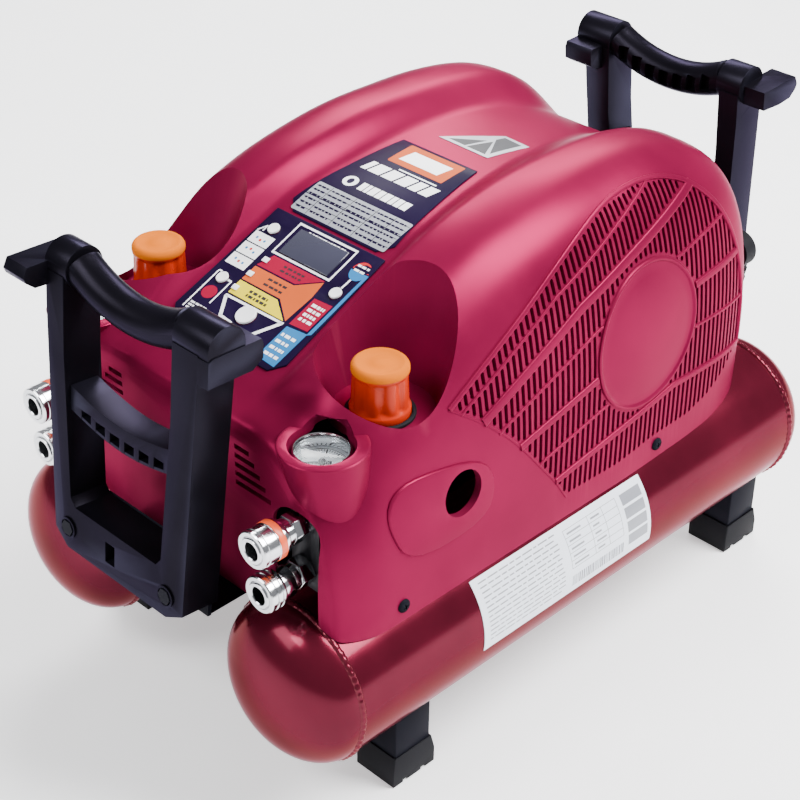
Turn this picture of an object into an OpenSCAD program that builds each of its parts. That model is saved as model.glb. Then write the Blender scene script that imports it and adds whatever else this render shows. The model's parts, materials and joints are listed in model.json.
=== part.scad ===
// Portable air compressor with two tanks.
// Millimetres, +Z up, floor at z = 0, front (panel, couplers) towards -Y, handles symmetric about y = 0.

/* [Tanks] */
// Outer radius of a tank
tank_r = 61; // [50:1:70]
// Distance of each tank axis from the middle
tank_x = 114; // [104:1:124]
// Height of the tank axes
tank_z = 107; // [95:1:120]
// Half length of the straight shell
tank_half = 238; // [200:1:260]
// Depth of a domed end
dome_d = 38; // [25:1:50]
// Steel thickness
tank_t = 3; // [2:0.5:4]

/* [Legs] */
// Distance of each leg from the middle
leg_x = 137; // [125:1:145]
// Front leg position
leg_front_y = -174; // [-200:1:-140]
// Rear leg position
leg_rear_y = 212; // [150:1:225]

/* [Cover] */
// Height of the cover's lower edge
cover_z = 152.2; // [152:0.1:156]
// Wall of the cover
cover_t = 3; // [2:0.5:4]
// Pitch of the side louvres
louvre_pitch = 9; // [7:0.5:14]
// Width of one louvre slot
louvre_w = 5; // [3:0.5:7]

/* [Knobs and gauges] */
// Knob distance from the middle
knob_x = 111; // [105:1:116]
// Knob position along the length
knob_y = -166; // [-175:1:-158]
// Bowl floor height
bowl_z = 284; // [280:1:290]
// Gauge distance from the middle
gauge_x = 119; // [114:1:124]
// Gauge position along the length
gauge_y = -225; // [-230:1:-220]
// Gauge rim height
gauge_z = 288; // [284:1:292]

/* [Couplers] */
// Coupler distance from the middle
coupler_x = 114; // [110:1:118]
// Height of the upper couplers
coupler_hi = 235; // [228:1:240]
// Height of the lower couplers
coupler_lo = 197; // [190:1:205]

/* [Handles] */
// Front face of the handle at its foot, from the middle
handle_y = 305; // [295:1:320]
// Depth of the uprights
handle_d = 30; // [24:1:36]
// Lean of the handle towards the cover, degrees
handle_lean = 5.4; // [0:0.2:8]

/* [Pump] */
// Height of the crankshaft
shaft_z = 245; // [235:1:255]
// Half stroke of the pistons
throw = 8; // [5:0.5:10]

/* [Hidden] */
$fn = 48;
tank_y = -5;                      // middle of the tanks along the length
floor_leg = 20;                   // height of a shoe
grip_r = 13;
handle_z = 159;                   // foot of the handles
panel_slope = atan(0.43);
panel_t = 1.4;
plum = [0.42, 0.05, 0.12];
crimson = [0.72, 0.08, 0.25];
black = [0.10, 0.10, 0.12];
steel = [0.75, 0.76, 0.78];
amber = [0.95, 0.45, 0.05];
alloy = [0.70, 0.71, 0.73];
copper = [0.72, 0.42, 0.25];

// ---- cover surface: rows of [y, middle height, ridge height, channel half width, ridge x, half width, power]
rows = [
    [-245, 276, 276, 56, 62, 138, 2.2], [-243, 283, 283, 56, 62, 146, 2.2],
    [-238, 289, 289, 56, 62, 151, 2.2], [-220, 297.4, 298, 57, 66, 156, 2.3],
    [-200, 306, 314, 57, 74, 158, 2.6], [-160, 323.2, 337, 56, 77, 158, 2.9],
    [-120, 340.4, 357, 54, 76, 158, 2.9], [-80, 356.6, 371, 51, 75, 158, 3.0],
    [-40, 365, 379, 46, 74, 158, 3.1], [0, 370, 384, 42, 74, 158, 3.1],
    [40, 371, 385, 38, 74, 158, 3.0], [80, 368, 383, 34, 75, 157, 3.0],
    [120, 359, 376, 30, 76, 156, 3.0], [150, 346, 364, 26, 77, 154, 3.1],
    [175, 326, 346, 24, 78, 149, 3.2], [190, 302, 322, 22, 78, 142, 3.3],
    [198, 272, 290, 20, 78, 130, 3.6]];
last_row = len(rows) - 1;

// Smooth row at a fractional index (Catmull-Rom, end rows repeated).
function pick(i) = rows[max(0, min(last_row, i))];
function row(u) = let (i = min(last_row - 1, floor(u)), t = u - i, a = pick(i - 1), b = pick(i),
    c = pick(i + 1), d = pick(i + 2))
    0.5 * (2 * b + (c - a) * t + (2 * a - 5 * b + 4 * c - d) * t * t + (3 * b - a - 3 * c + d) * t * t * t);
// The rear wall leans back a little with height.
function lean_back(y, z) = y + 0.05 * max(0, z - cover_z) * max(0, min(1, y / 200));
// Right half of one cross-section, from the middle down to the lower edge, inset by t.
function half(r, t, foot, n) = concat(
    [[0, r[1] - t]],
    [for (k = [0 : 4]) let (s = k / 4) [r[3] + (r[4] - r[3]) * s, r[1] - t + (r[2] - r[1]) * s * s * (3 - 2 * s)]],
    [for (k = [1 : n]) let (a = 90 * k / n)
        [r[4] + (r[5] - t - r[4]) * pow(sin(a), 2 / r[6]),
         foot + (r[2] - t - foot) * pow(max(0, cos(a)), 2 / r[6])]]);
function ring(r, t, foot, n) = let (h = half(r, t, foot, n), m = len(h))
    concat([for (i = [m - 1 : -1 : 1]) [-h[i][0], h[i][1]]], h);
module cover_body(t, foot, step, n) {
    us = [for (u = [0 : step : last_row]) u];
    squeeze = 1 - t / 245;
    pts = [for (u = us) let (r = row(u)) for (p = ring(r, t, foot, n))
        [p[0], lean_back(r[0] * squeeze, p[1]), p[1]]];
    m = 2 * (n + 6) - 1;
    k = len(us);
    quads = [for (j = [0 : k - 2]) for (i = [0 : m - 2]) each
        [[j * m + i, (j + 1) * m + i + 1, j * m + i + 1], [j * m + i, (j + 1) * m + i, (j + 1) * m + i + 1]]];
    under = [for (j = [0 : k - 2]) each
        [[j * m, (j + 1) * m + m - 1, (j + 1) * m], [j * m, j * m + m - 1, (j + 1) * m + m - 1]]];
    polyhedron(pts, concat(quads, under, [[for (i = [0 : m - 1]) i]],
        [[for (i = [m - 1 : -1 : 0]) (k - 1) * m + i]]), convexity = 8);
}

module both() { children(); mirror([1, 0, 0]) children(); }
module along_y(x, y, z) { translate([x, y, z]) rotate([-90, 0, 0]) children(); }
module along_x(x, y, z) { translate([x, y, z]) rotate([0, 90, 0]) children(); }
module tube(r, h, bore) { difference() { cylinder(r = r, h = h); translate([0, 0, -1]) cylinder(r = bore, h = h + 2); } }

// ---- tanks
module dome_profile(r, d, half) {
    polygon(concat([for (a = [90 : -10 : 0]) [r * cos(a), -half - d * sin(a)]],
        [for (a = [0 : 10 : 90]) [r * cos(a), half + d * sin(a)]]));
}
module tank(side, ports) {
    x = side * tank_x;
    difference() {
        union() {
            along_y(x, tank_y, tank_z) rotate_extrude($fn = 96) {
                dome_profile(tank_r, dome_d, tank_half);
                for (s = [-1, 1]) translate([tank_r - 0.2, s * tank_half]) circle(r = 1.6, $fn = 24);
            }
            for (y = ports) translate([x, y, tank_z + 50]) cylinder(r = 9, h = 13);
            for (y = [-190, 77]) translate([x + side * 37.4 - 1.6, y - 9, tank_z + 44]) cube([3.2, 18, 20]);
        }
        along_y(x, tank_y, tank_z) rotate_extrude($fn = 96)
            dome_profile(tank_r - tank_t, dome_d - tank_t, tank_half);
        for (y = ports) translate([x, y, tank_z]) cylinder(r = 5, h = 70);
        for (y = [-190, 77]) along_x(side > 0 ? 140 : -160, y, 165) cylinder(r = 2.1, h = 20, $fn = 24);
        along_x(side > 0 ? 55 : -75, 150, 70) cylinder(r = 5, h = 20);
    }
}
module tank_right() { color(plum) tank(1, [-200]); }
module tank_left() { color(plum) tank(-1, [-200, 60, 110]); }
module tank_link_pipe() {
    color(copper) difference() {
        union() {
            along_x(-67, 150, 70) cylinder(r = 8, h = 134);
            translate([0, 150, 56]) cylinder(r = 9, h = 14);
        }
        along_x(-70, 150, 70) cylinder(r = 5, h = 140);
        translate([0, 150, 50]) cylinder(r = 4, h = 20);
        for (s = [-1, 1]) along_y(s * tank_x, 100, tank_z) cylinder(r = tank_r, h = 100, $fn = 96);
    }
}
module rating_label() {
    color([0.93, 0.94, 0.95]) intersection() {
        along_y(tank_x, -128, tank_z) tube(tank_r + 0.7, 184, tank_r + 0.1, $fn = 96);
        translate([tank_x, -128, tank_z]) rotate([-90, 0, 0]) linear_extrude(184)
            polygon([[0, 0], [120 * cos(-44), 120 * sin(-44)], [130, 0], [120 * cos(8), 120 * sin(8)]]);
    }
}

// ---- legs and shoes
module leg(x, y) {
    color(black) difference() {
        translate([x - 16.5, y - 17, floor_leg]) cube([33, 34, 44]);
        translate([x - 13.5, y - 14, floor_leg - 1]) cube([27, 28, 26]);
        along_y(x > 0 ? tank_x : -tank_x, y - 30, tank_z) cylinder(r = tank_r, h = 60, $fn = 96);
    }
}
module foot(x, y) {
    color(black) translate([x, y, 0]) difference() {
        union() {
            translate([-18.6, -20.7, 0]) cube([37.2, 41.4, 12]);
            hull() {
                translate([-18.6, -20.7, 11]) cube([37.2, 41.4, 2]);
                translate([-17.6, -18.1, 24]) cube([35.2, 36.2, 1]);
            }
        }
        translate([-16.5, -17, floor_leg]) cube([33, 34, 10]);
        for (g = [-1, 1]) translate([-20, g * 9 - 2, -1]) cube([40, 4, 3]);
    }
}
module leg_front_right() { leg(leg_x, leg_front_y); }
module leg_front_left() { leg(-leg_x, leg_front_y); }
module leg_rear_right() { leg(leg_x, leg_rear_y); }
module leg_rear_left() { leg(-leg_x, leg_rear_y); }
module foot_front_right() { foot(leg_x, leg_front_y); }
module foot_front_left() { foot(-leg_x, leg_front_y); }
module foot_rear_right() { foot(leg_x, leg_rear_y); }
module foot_rear_left() { foot(-leg_x, leg_rear_y); }

// ---- frame between the tanks
module in_handle(turn) {
    rotate([0, 0, turn]) translate([0, -handle_y, handle_z]) rotate([-handle_lean, 0, 0]) children();
}
module frame() {
    color(black) difference() {
        union() {
            translate([-60, -273, 148]) cube([120, 546, 3]);
            translate([-74, -236, 148]) cube([148, 426, 3]);
            for (y = [leg_front_y, leg_rear_y]) translate([-76, y - 18, 118]) cube([152, 36, 30]);
            for (turn = [0, 180]) in_handle(turn) translate([-60, handle_d, -9]) cube([120, 3, 44]);
        }
        for (s = [-1, 1]) along_y(s * tank_x, -260, tank_z) cylinder(r = tank_r, h = 520, $fn = 96);
        for (turn = [0, 180]) in_handle(turn) for (x = [-52, 52]) along_y(x, 20, 17) cylinder(r = 3.6, h = 20);
        for (x = [-45, 45]) for (y = [-40, 70]) translate([x, y, 140]) cylinder(r = 4.2, h = 20);
        for (y = [-140 : 60 : 160]) translate([-20, y, 140]) cube([40, 30, 20]);
    }
}
module isolators() {
    color(black) for (x = [-45, 45]) for (y = [-40, 70]) translate([x, y, 0]) {
        translate([0, 0, 151]) cylinder(r = 10, h = 17);
        translate([0, 0, 145]) cylinder(r = 4, h = 7);
    }
}

// ---- cover
module bowl(grow) {
    translate([knob_x - 3, knob_y + 6, bowl_z - grow])
        cylinder(r1 = 34 + grow, r2 = 59 + grow, h = 80);
}
module turret() {
    intersection() {
        translate([gauge_x - 2, gauge_y + 12, 222]) rotate([9, 1.5, 0]) cylinder(r1 = 21, r2 = 31, h = 78);
        translate([60, -300, 200]) cube([120, 120, gauge_z + 3 - 200]);
    }
}
module side_pad() {
    along_x(140, 0, 0) linear_extrude(19.6) hull() {
        translate([-224, -131]) circle(r = 27);
        translate([-224, -172]) circle(r = 27);
    }
}
// Outline of the louvred field and centre lines of the bars across it, seen from the side: [y, z].
field = [[-139, 290], [-80, 321], [-15, 354], [29, 368], [69, 371], [103, 365], [132, 350], [158, 322], [176, 280],
    [184, 240], [182, 205], [160, 188], [139, 178], [114, 172], [70, 172], [30, 168], [-27, 170], [-39, 189],
    [-50, 202], [-80, 240], [-109, 268]];
bars = [[[-150, 252], [-121, 266], [-12, 314], [125, 353], [190, 368]],
    [[-110, 229], [-87, 234], [7, 255], [115, 283], [190, 290]],
    [[-70, 186], [-50, 188], [92, 210], [190, 205]]];
badge_y = 58;
badge_z = 266;
badge_r = 57;
module louvres() {
    difference() {
        intersection() {
            translate([100, 0, 0]) rotate([90, 0, 90]) linear_extrude(80) polygon(field);
            for (y = [-136 : louvre_pitch : 182]) translate([95, y, 150]) cube([90, louvre_w, 230]);
        }
        translate([90, badge_y, badge_z]) rotate([0, 90, 0]) cylinder(r = badge_r, h = 100);
        translate([90, 0, 0]) rotate([90, 0, 90]) linear_extrude(100) for (bar = bars)
            polygon(concat([for (p = bar) [p[0], p[1] + 3.5]],
                [for (i = [len(bar) - 1 : -1 : 0]) [bar[i][0], bar[i][1] - 3.5]]));
    }
}
module cover() {
    color(crimson) difference() {
        union() {
            cover_body(0, cover_z, 0.5, 12);
            both() turret();
            both() intersection() { side_pad(); translate([150, -250, 150]) cube([9.8, 200, 140]); }
        }
        difference() {
            cover_body(cover_t, cover_z - 12, 1, 8);
            both() bowl(cover_t);
        }
        both() {
            bowl(0);
            translate([knob_x, knob_y, bowl_z - 10]) cylinder(r = 20.9, h = 20, $fn = 32);
            translate([gauge_x, gauge_y, 272]) cylinder(r = 21, h = 40, $fn = 40);
            translate([gauge_x, gauge_y, 240]) cylinder(r = 8, h = 40, $fn = 32);
            along_y(coupler_x, -250, 0) linear_extrude(28) {
                translate([0, -227]) circle(r = 21, $fn = 32);
                translate([-21, -227]) square([42, 85]);
            }
            for (k = [0 : 4]) translate([58, -250, 240 + 7 * k]) cube([34 - 5 * k, 14, 3.6]);
            along_x(140, -135, 228) cylinder(r = 17, h = 40, $fn = 32);
            along_y(tank_x, -255, tank_z) cylinder(r = tank_r + 1.5, h = 480, $fn = 96);
            for (y = [-190, 77]) along_x(140, y, 165) cylinder(r = 2.8, h = 40, $fn = 16);
            louvres();
            for (k = [0 : 5]) translate([12, 180, 180 + 14 * k]) cube([80, 40, 6]);
        }
        for (b = buttons) on_panel(b[0], b[1]) translate([0, 0, -6]) cylinder(r = 3, h = 10, $fn = 12);
        along_y(118, 180, 262) cylinder(r = 9, h = 40, $fn = 24);
    }
}
module cover_screws() {
    color(black) both() for (at = [[-190, 158.1], [77, 157.2]]) {
        along_x(at[1], at[0], 165) cylinder(r1 = 5, r2 = 4, h = 2.6, $fn = 32);
        along_x(148, at[0], 165) cylinder(r = 2, h = at[1] - 147, $fn = 24);
    }
}

// ---- panel and label on the channel of the cover
function skin(u0, u1, lo, hi) = let (us = [for (k = [0 : 12]) u0 + (u1 - u0) * k / 12]) concat(
    [for (u = us) [row(u)[0], row(u)[1] + lo]],
    [for (k = [12 : -1 : 0]) [row(us[k])[0], row(us[k])[1] + hi]]);
module skin_plate(u0, u1, lo, hi, front, rear) {
    y0 = row(u0)[0];
    y1 = row(u1)[0];
    intersection() {
        translate([-70, 0, 0]) rotate([90, 0, 90]) linear_extrude(140) polygon(skin(u0, u1, lo, hi));
        linear_extrude(420) polygon([[-front + 9, y0], [front - 9, y0], [front, y0 + 9], [rear, y1],
            [-rear, y1], [-front, y0 + 9]]);
    }
}
// [x, y, radius, height] of each push button
buttons = [[0, -181, 7.5, 2.2], [-41, -166, 4.5, 2], [43, -139.5, 4.5, 2], [-40, -119, 4.5, 2]];
module on_panel(x, y) {
    translate([x, y, 306 + 0.43 * (y + 200)]) rotate([panel_slope, 0, 0]) children();
}
module button(k) {
    b = buttons[k];
    color([0.93, 0.93, 0.94]) on_panel(b[0], b[1]) {
        translate([0, 0, 1.1]) cylinder(r = b[2], h = b[3]);
        translate([0, 0, -9]) cylinder(r = 2.4, h = 10.5, $fn = 24);
    }
}
module control_panel() {
    color([0.07, 0.07, 0.16]) difference() {
        skin_plate(3.78, 6.4, 0.05, panel_t, 56, 53);
        for (b = buttons) on_panel(b[0], b[1]) translate([0, 0, -4]) cylinder(r = b[2] + 0.3, h = 10);
        on_panel(2.2, -121) translate([-24, -12, -4]) cube([48, 24, 10]);
    }
}
module lcd_window() { color([0.35, 0.38, 0.45]) on_panel(2.2, -121) translate([-23.7, -11.7, 0.1]) cube([47.4, 23.4, 2]); }
module button_pressure() { button(0); }
module button_power() { button(1); }
module button_mode() { button(2); }
module button_info() { button(3); }
module top_label() { color([0.08, 0.08, 0.10]) skin_plate(6.47, 9.08, 0.12, 0.85, 50, 36); }
module control_board() {
    color([0.10, 0.35, 0.20]) translate([-42, -188, 276]) cube([84, 66, 2]);
    color(alloy) {
        translate([-36, -182, 266]) cube([72, 54, 4]);
        for (k = [0 : 8]) translate([-36, -182 + 6.4 * k, 254]) cube([72, 2, 12.5]);
        for (x = [-20, 20]) for (y = [-170, -145]) translate([x, y, 269.5]) cylinder(r = 3, h = 6.6);
    }
    color(black) {
        for (x = [-37, 37]) translate([x, -150, 278]) cylinder(r = 3, h = 44);
        translate([-10, -160, 278]) cube([22, 16, 12]);
    }
}

// ---- regulators with their coupler manifolds
module regulator(s) {
    color(alloy) difference() {
        union() {
            translate([s * knob_x, knob_y, 236]) cylinder(r = 17, h = 42);
            translate([s * knob_x, knob_y, 277]) cylinder(r = 8, h = 33);
            translate([s * coupler_x - 13, -236, 183]) cube([26, 42, 60]);
            translate([s * knob_x - 12, -200, 236]) cube([24, 34, 14]);
            translate([s * coupler_x, -206, 170]) cylinder(r = 9, h = 14);
            translate([s * gauge_x, gauge_y, 242]) cylinder(r = 6, h = 12);
        }
        for (z = [coupler_hi, coupler_lo]) along_y(s * coupler_x, -240, z) cylinder(r = 4, h = 30);
        translate([s * coupler_x, -206, 160]) cylinder(r = 4, h = 80);
        translate([s * gauge_x, gauge_y, 235]) cylinder(r = 2, h = 30);
    }
}
module regulator_right() { regulator(1); }
module regulator_left() { regulator(-1); }
module knob(s) {
    color(amber) translate([s * knob_x, knob_y, bowl_z + 0.6]) difference() {
        union() {
            cylinder(r = 20.3, h = 7, $fn = 64);
            difference() {
                translate([0, 0, 7]) cylinder(r = 19.2, h = 27, $fn = 64);
                for (k = [0 : 8]) rotate([0, 0, 40 * k]) translate([24.4, 0, 8]) cylinder(r = 7, h = 22);
            }
            translate([0, 0, 34]) cylinder(r1 = 19.2, r2 = 17.4, h = 4.4, $fn = 64);
        }
        translate([0, 0, -1]) cylinder(r = 8.06, h = 28);
        translate([0, 0, -1]) difference() {
            cylinder(r = 16, h = 9);
            translate([0, 0, -1]) cylinder(r = 11, h = 11);
        }
    }
}
module knob_right() { knob(1); }
module knob_left() { knob(-1); }
module knob_seals() { color(black) both() translate([knob_x, knob_y, bowl_z]) tube(23.6, 2.6, 20.7, $fn = 64); }

// ---- gauges
module gauge_case(s) {
    translate([s * gauge_x, gauge_y, 0]) {
        color(steel) difference() {
            union() {
                translate([0, 0, gauge_z - 15.4]) cylinder(r = 19.2, h = 15.4, $fn = 64);
                translate([0, 0, 254]) cylinder(r = 6, h = gauge_z - 269);
            }
            translate([0, 0, gauge_z - 13]) cylinder(r = 17.6, h = 30, $fn = 64);
        }
        color([0.95, 0.95, 0.95]) translate([0, 0, gauge_z - 13]) cylinder(r = 17.2, h = 1, $fn = 64);
        color(steel) translate([0, 0, gauge_z - 12.5]) cylinder(r = 0.95, h = 3, $fn = 24);
    }
}
module needle(s) {
    color(black) translate([s * gauge_x, gauge_y, gauge_z - 11]) rotate([0, 0, -45]) difference() {
        union() {
            cylinder(r = 2.4, h = 2, $fn = 32);
            linear_extrude(0.9) polygon([[-0.9, -6], [0.9, -6], [0.35, 14.5], [-0.35, 14.5]]);
        }
        translate([0, 0, -1]) cylinder(r = 1, h = 4, $fn = 24);
    }
}
module gauge_case_right() { gauge_case(1); }
module gauge_case_left() { gauge_case(-1); }
module gauge_needle_right() { needle(1); }
module gauge_needle_left() { needle(-1); }
module gauge_glasses() {
    color([0.85, 0.92, 0.95, 0.4]) both() translate([gauge_x, gauge_y, gauge_z - 5]) cylinder(r = 17.6, h = 2, $fn = 64);
}

// ---- quick couplers: stub screwed in the manifold, sleeve sliding on it
module coupler_body(s, z, out) {
    color(steel) translate([s * coupler_x, -236 - out, z]) rotate([90, 0, 0]) difference() {
        union() {
            translate([0, 0, -out]) cylinder(r = 8, h = out + 0.01);
            cylinder(r = 11, h = 11, $fn = 6);
            cylinder(r = 9.4, h = 41, $fn = 48);
        }
        translate([0, 0, -out - 1]) cylinder(r = 4, h = 60);
        translate([0, 0, 18]) cylinder(r = 6.2, h = 40);
    }
}
module coupler_sleeve(s, z, out) {
    color(steel) translate([s * coupler_x, -236 - out, z]) rotate([90, 0, 0]) difference() {
        union() {
            translate([0, 0, 19]) cylinder(r = 13.5, h = 21, $fn = 64);
            translate([0, 0, 17]) cylinder(r1 = 12, r2 = 13.5, h = 2, $fn = 64);
        }
        translate([0, 0, 10]) cylinder(r = 9.47, h = 40, $fn = 48);
        for (g = [23, 26.5, 30]) translate([0, 0, g]) difference() {
            cylinder(r = 15, h = 1.4);
            translate([0, 0, -1]) cylinder(r = 12.8, h = 4);
        }
    }
}
module coupler_body_right_hi() { coupler_body(1, coupler_hi, 5); }
module coupler_body_right_lo() { coupler_body(1, coupler_lo, 0.5); }
module coupler_body_left_hi() { coupler_body(-1, coupler_hi, 5); }
module coupler_body_left_lo() { coupler_body(-1, coupler_lo, 0.5); }
module coupler_sleeve_right_hi() { coupler_sleeve(1, coupler_hi, 5); }
module coupler_sleeve_right_lo() { coupler_sleeve(1, coupler_lo, 0.5); }
module coupler_sleeve_left_hi() { coupler_sleeve(-1, coupler_hi, 5); }
module coupler_sleeve_left_lo() { coupler_sleeve(-1, coupler_lo, 0.5); }

// ---- handles: x across, y depth from the outer face, z up the leaning frame
grip_chord = 54;
grip_sag = 14;
grip_big = (grip_chord * grip_chord + grip_sag * grip_sag) / (2 * grip_sag);
grip_half = asin(grip_chord / grip_big);
module handle_plate() {
    difference() {
        polygon([[-54, 0], [52, 0], [69, 9], [77, 182], [77, 205], [53, 205], [53, 200], [-56, 200],
            [-56, 205], [-74, 205], [-74, 182], [-67, 11]]);
        polygon([[-45, 36], [41, 36], [46, 42], [53, 150], [53, 201], [-56, 201], [-56, 150], [-50, 42]]);
    }
}
module handle() {
    color(black) difference() {
        union() {
            along_y(0, 0, 0) mirror([0, 1, 0]) linear_extrude(handle_d) handle_plate();
            // bosses over the uprights and the sagging grip between them
            along_x(-75, 15, 209) cylinder(r = 15, h = 22);
            along_x(53, 15, 209) cylinder(r = 15, h = 33);
            translate([0, 15, 210 + grip_big * cos(grip_half)]) rotate([90, 0, 0])
                rotate([0, 0, -90 - grip_half]) rotate_extrude(angle = 2 * grip_half, $fn = 96)
                    translate([grip_big, 0]) circle(r = grip_r, $fn = 40);
            // rung
            along_y(0, 4, 0) mirror([0, 1, 0]) linear_extrude(22) polygon(concat(
                [for (x = [-54 : 9 : 54]) [x, 108 - 8 * cos(90 * x / 54)]],
                [for (x = [54 : -9 : -54]) [x, 126 - 8 * cos(90 * x / 54)]]));
            // lugs at the ends
            translate([-94, 0, 0]) rotate([90, 0, 90]) linear_extrude(22)
                polygon([[-17, 199], [-19, 203], [-16, 210], [24, 212], [24, 197], [4, 194], [-10, 194]]);
            translate([60, 0, 0]) rotate([90, 0, 90]) linear_extrude(27)
                polygon([[0, 186], [0, 204], [4, 206], [42, 208], [44, 204], [44, 194], [36, 188]]);
            for (x = [-52, 52]) along_y(x, -1.5, 17) cylinder(r = 8, h = 4);
        }
        for (x = [-52, 52]) {
            along_y(x, -5, 17) cylinder(r = 6.4, h = 9);
            along_y(x, 0, 17) cylinder(r = 3.6, h = 40);
        }
        translate([-12, -1, 10]) cube([10, 40, 16]);
        for (k = [-2.5 : 2.5]) translate([k * 15 - 5, -1, 105 - 6 * cos(90 * k * 15 / 54)]) cube([10, 16, 10]);
        for (k = [-3 : 3]) translate([k * 13.5 - 4.5, 21, 203 - 14 * cos(90 * k * 13.5 / 54)]) cube([9, 12, 13]);
    }
}
module handle_front() { in_handle(0) handle(); }
module handle_rear() { in_handle(180) handle(); }
module handle_bolts() {
    color(steel) for (turn = [0, 180]) in_handle(turn) for (x = [-52, 52]) {
        along_y(x, -2, 17) cylinder(r = 6, h = 6, $fn = 6);
        along_y(x, 0, 17) cylinder(r = 3.5, h = 40);
        along_y(x, handle_d + 3, 17) cylinder(r = 6, h = 5, $fn = 6);
    }
}

// ---- pump on the crankshaft axis (x = 0, z = shaft_z)
module motor_stator() {
    color(alloy) difference() {
        union() {
            along_y(0, 22, shaft_z) cylinder(r = 56, h = 74, $fn = 72);
            along_y(0, 11.5, shaft_z) cylinder(r = 43, h = 11, $fn = 72);
            translate([-55, 55, 168]) cube([110, 30, 40]);
            for (a = [0 : 20 : 340]) along_y(0, 24, shaft_z) rotate([0, 0, a]) translate([54, -1.5, 0]) cube([7, 3, 60]);
        }
        along_y(0, 10, shaft_z) cylinder(r = 35, h = 80, $fn = 72);
        along_y(0, 80, shaft_z) cylinder(r = 8.05, h = 30);
        translate([-30, 50, 160]) cube([60, 40, 22]);
    }
    color(copper) for (y = [24, 80]) along_y(0, y, shaft_z) tube(48, 8, 36, $fn = 72);
}
module rotor_shaft() {
    color(steel) {
        along_y(0, -96, shaft_z) cylinder(r = 8, h = 196);
        along_y(0, 27, shaft_z) cylinder(r = 34, h = 50, $fn = 72);
        along_y(throw, -24, shaft_z) cylinder(r = 14, h = 8);
    }
}
module fan() {
    color(black) difference() {
        union() {
            along_y(0, -92, shaft_z) cylinder(r = 15, h = 22);
            for (k = [0 : 6]) translate([0, -81, shaft_z]) rotate([0, 360 * k / 7, 0])
                translate([0, 0, 12]) rotate([0, 0, 32]) translate([-13, -1.2, 0]) cube([26, 2.4, 50]);
        }
        along_y(0, -95, shaft_z) cylinder(r = 8, h = 30);
    }
}
module crankcase() {
    color(alloy) difference() {
        union() {
            along_y(0, -52, shaft_z) cylinder(r = 44, h = 63.5, $fn = 72);
            translate([-50, -50, 168]) cube([100, 30, 40]);
        }
        along_y(0, -46, shaft_z) cylinder(r = 36, h = 50, $fn = 72);
        along_y(0, -60, shaft_z) cylinder(r = 8.05, h = 80);
        along_x(0, -30, shaft_z) cylinder(r = 20, h = 60);
        along_x(-60, -10, shaft_z) cylinder(r = 14, h = 60);
        translate([-30, -55, 160]) cube([60, 40, 22]);
    }
}
// Cylinder with fins and a closed head, drawn along +X.
module cylinder_unit(bore, y) {
    color(alloy) difference() {
        union() {
            along_x(44, y, shaft_z) cylinder(r = bore + 5, h = 66);
            for (x = [54 : 9 : 99]) along_x(x, y, shaft_z) cylinder(r = bore + 12, h = 3);
            translate([108, y - bore - 10, shaft_z - bore - 10]) cube([28, 2 * bore + 20, 2 * bore + 20]);
            for (z = [-1, 1]) for (k = [-1, 1]) translate([112, y + k * 14 - 1.5, shaft_z + z * (bore + 12) - 3])
                cube([20, 3, 6]);
        }
        along_x(40, y, shaft_z) cylinder(r = bore, h = 76);
        along_y(0, -80, shaft_z) cylinder(r = 44.2, h = 120, $fn = 72);
    }
}
module cylinder_low() { cylinder_unit(28, -30); }
module cylinder_high() { mirror([1, 0, 0]) cylinder_unit(18, -10); }
module piston(r, y, ring_y) {
    color(steel) {
        along_x(74, y, shaft_z) cylinder(r = r - 0.3, h = 12);
        translate([19, y - 4, shaft_z - 5]) cube([56, 8, 10]);
        along_y(0, ring_y, shaft_z) tube(23, 8, 17.5);
    }
}
module piston_low() { piston(28, -30, -34); }
module piston_high() { mirror([1, 0, 0]) piston(18, -10, -14); }
module pipe_run(points, r) {
    for (i = [0 : len(points) - 2]) let (a = points[i], d = points[i + 1] - a, h = norm(d))
        translate(a) rotate([0, acos(d[2] / h), atan2(d[1], d[0])]) cylinder(r = r, h = h);
    for (i = [1 : len(points) - 2]) translate(points[i]) sphere(r = r + 0.6);
}
module air_pipes() {
    color(copper) {
        pipe_run([[122, -68, shaft_z], [122, -112, shaft_z], [-122, -112, shaft_z], [-122, -38, shaft_z]], 5);
        pipe_run([[-122, 18, shaft_z], [-122, 60, shaft_z], [-tank_x, 60, 215], [-tank_x, 60, 170]], 5);
    }
}
module intake_filter() {
    color(black) {
        translate([122, -30, 283]) cylinder(r = 6, h = 7);
        translate([122, -30, 289]) cylinder(r = 18, h = 25);
        translate([122, -30, 313]) cylinder(r1 = 18, r2 = 14, h = 3);
    }
}
module safety_valve() {
    color([0.80, 0.62, 0.30]) translate([-tank_x, 110, 170]) difference() {
        union() {
            cylinder(r = 9, h = 10, $fn = 6);
            translate([0, 0, 9]) cylinder(r = 7, h = 17);
        }
        translate([0, 0, 6]) cylinder(r = 2.05, h = 30, $fn = 24);
        translate([0, 0, -1]) cylinder(r = 1.5, h = 10, $fn = 24);
    }
}
module safety_valve_pin() {
    color(steel) translate([-tank_x, 110, 170]) {
        translate([0, 0, 6.3]) cylinder(r = 2, h = 27, $fn = 24);
        translate([0, 1.2, 39]) rotate([90, 0, 0]) tube(8, 2.4, 5.6);
    }
}
module drain_valve() {
    color([0.80, 0.62, 0.30]) difference() {
        union() {
            translate([0, 150, 34]) cylinder(r = 9, h = 22, $fn = 6);
            along_y(0, 156, 45) cylinder(r = 6, h = 12);
        }
        translate([0, 150, 30]) cylinder(r = 3, h = 30);
        along_y(0, 160, 45) cylinder(r = 3.05, h = 20);
    }
}
module drain_knob() {
    color(black) {
        along_y(0, 160.3, 45) cylinder(r = 3, h = 12);
        along_y(0, 168.5, 45) cylinder(r = 7, h = 5);
        translate([-14, 169, 42.5]) cube([28, 8, 5]);
    }
}
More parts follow.
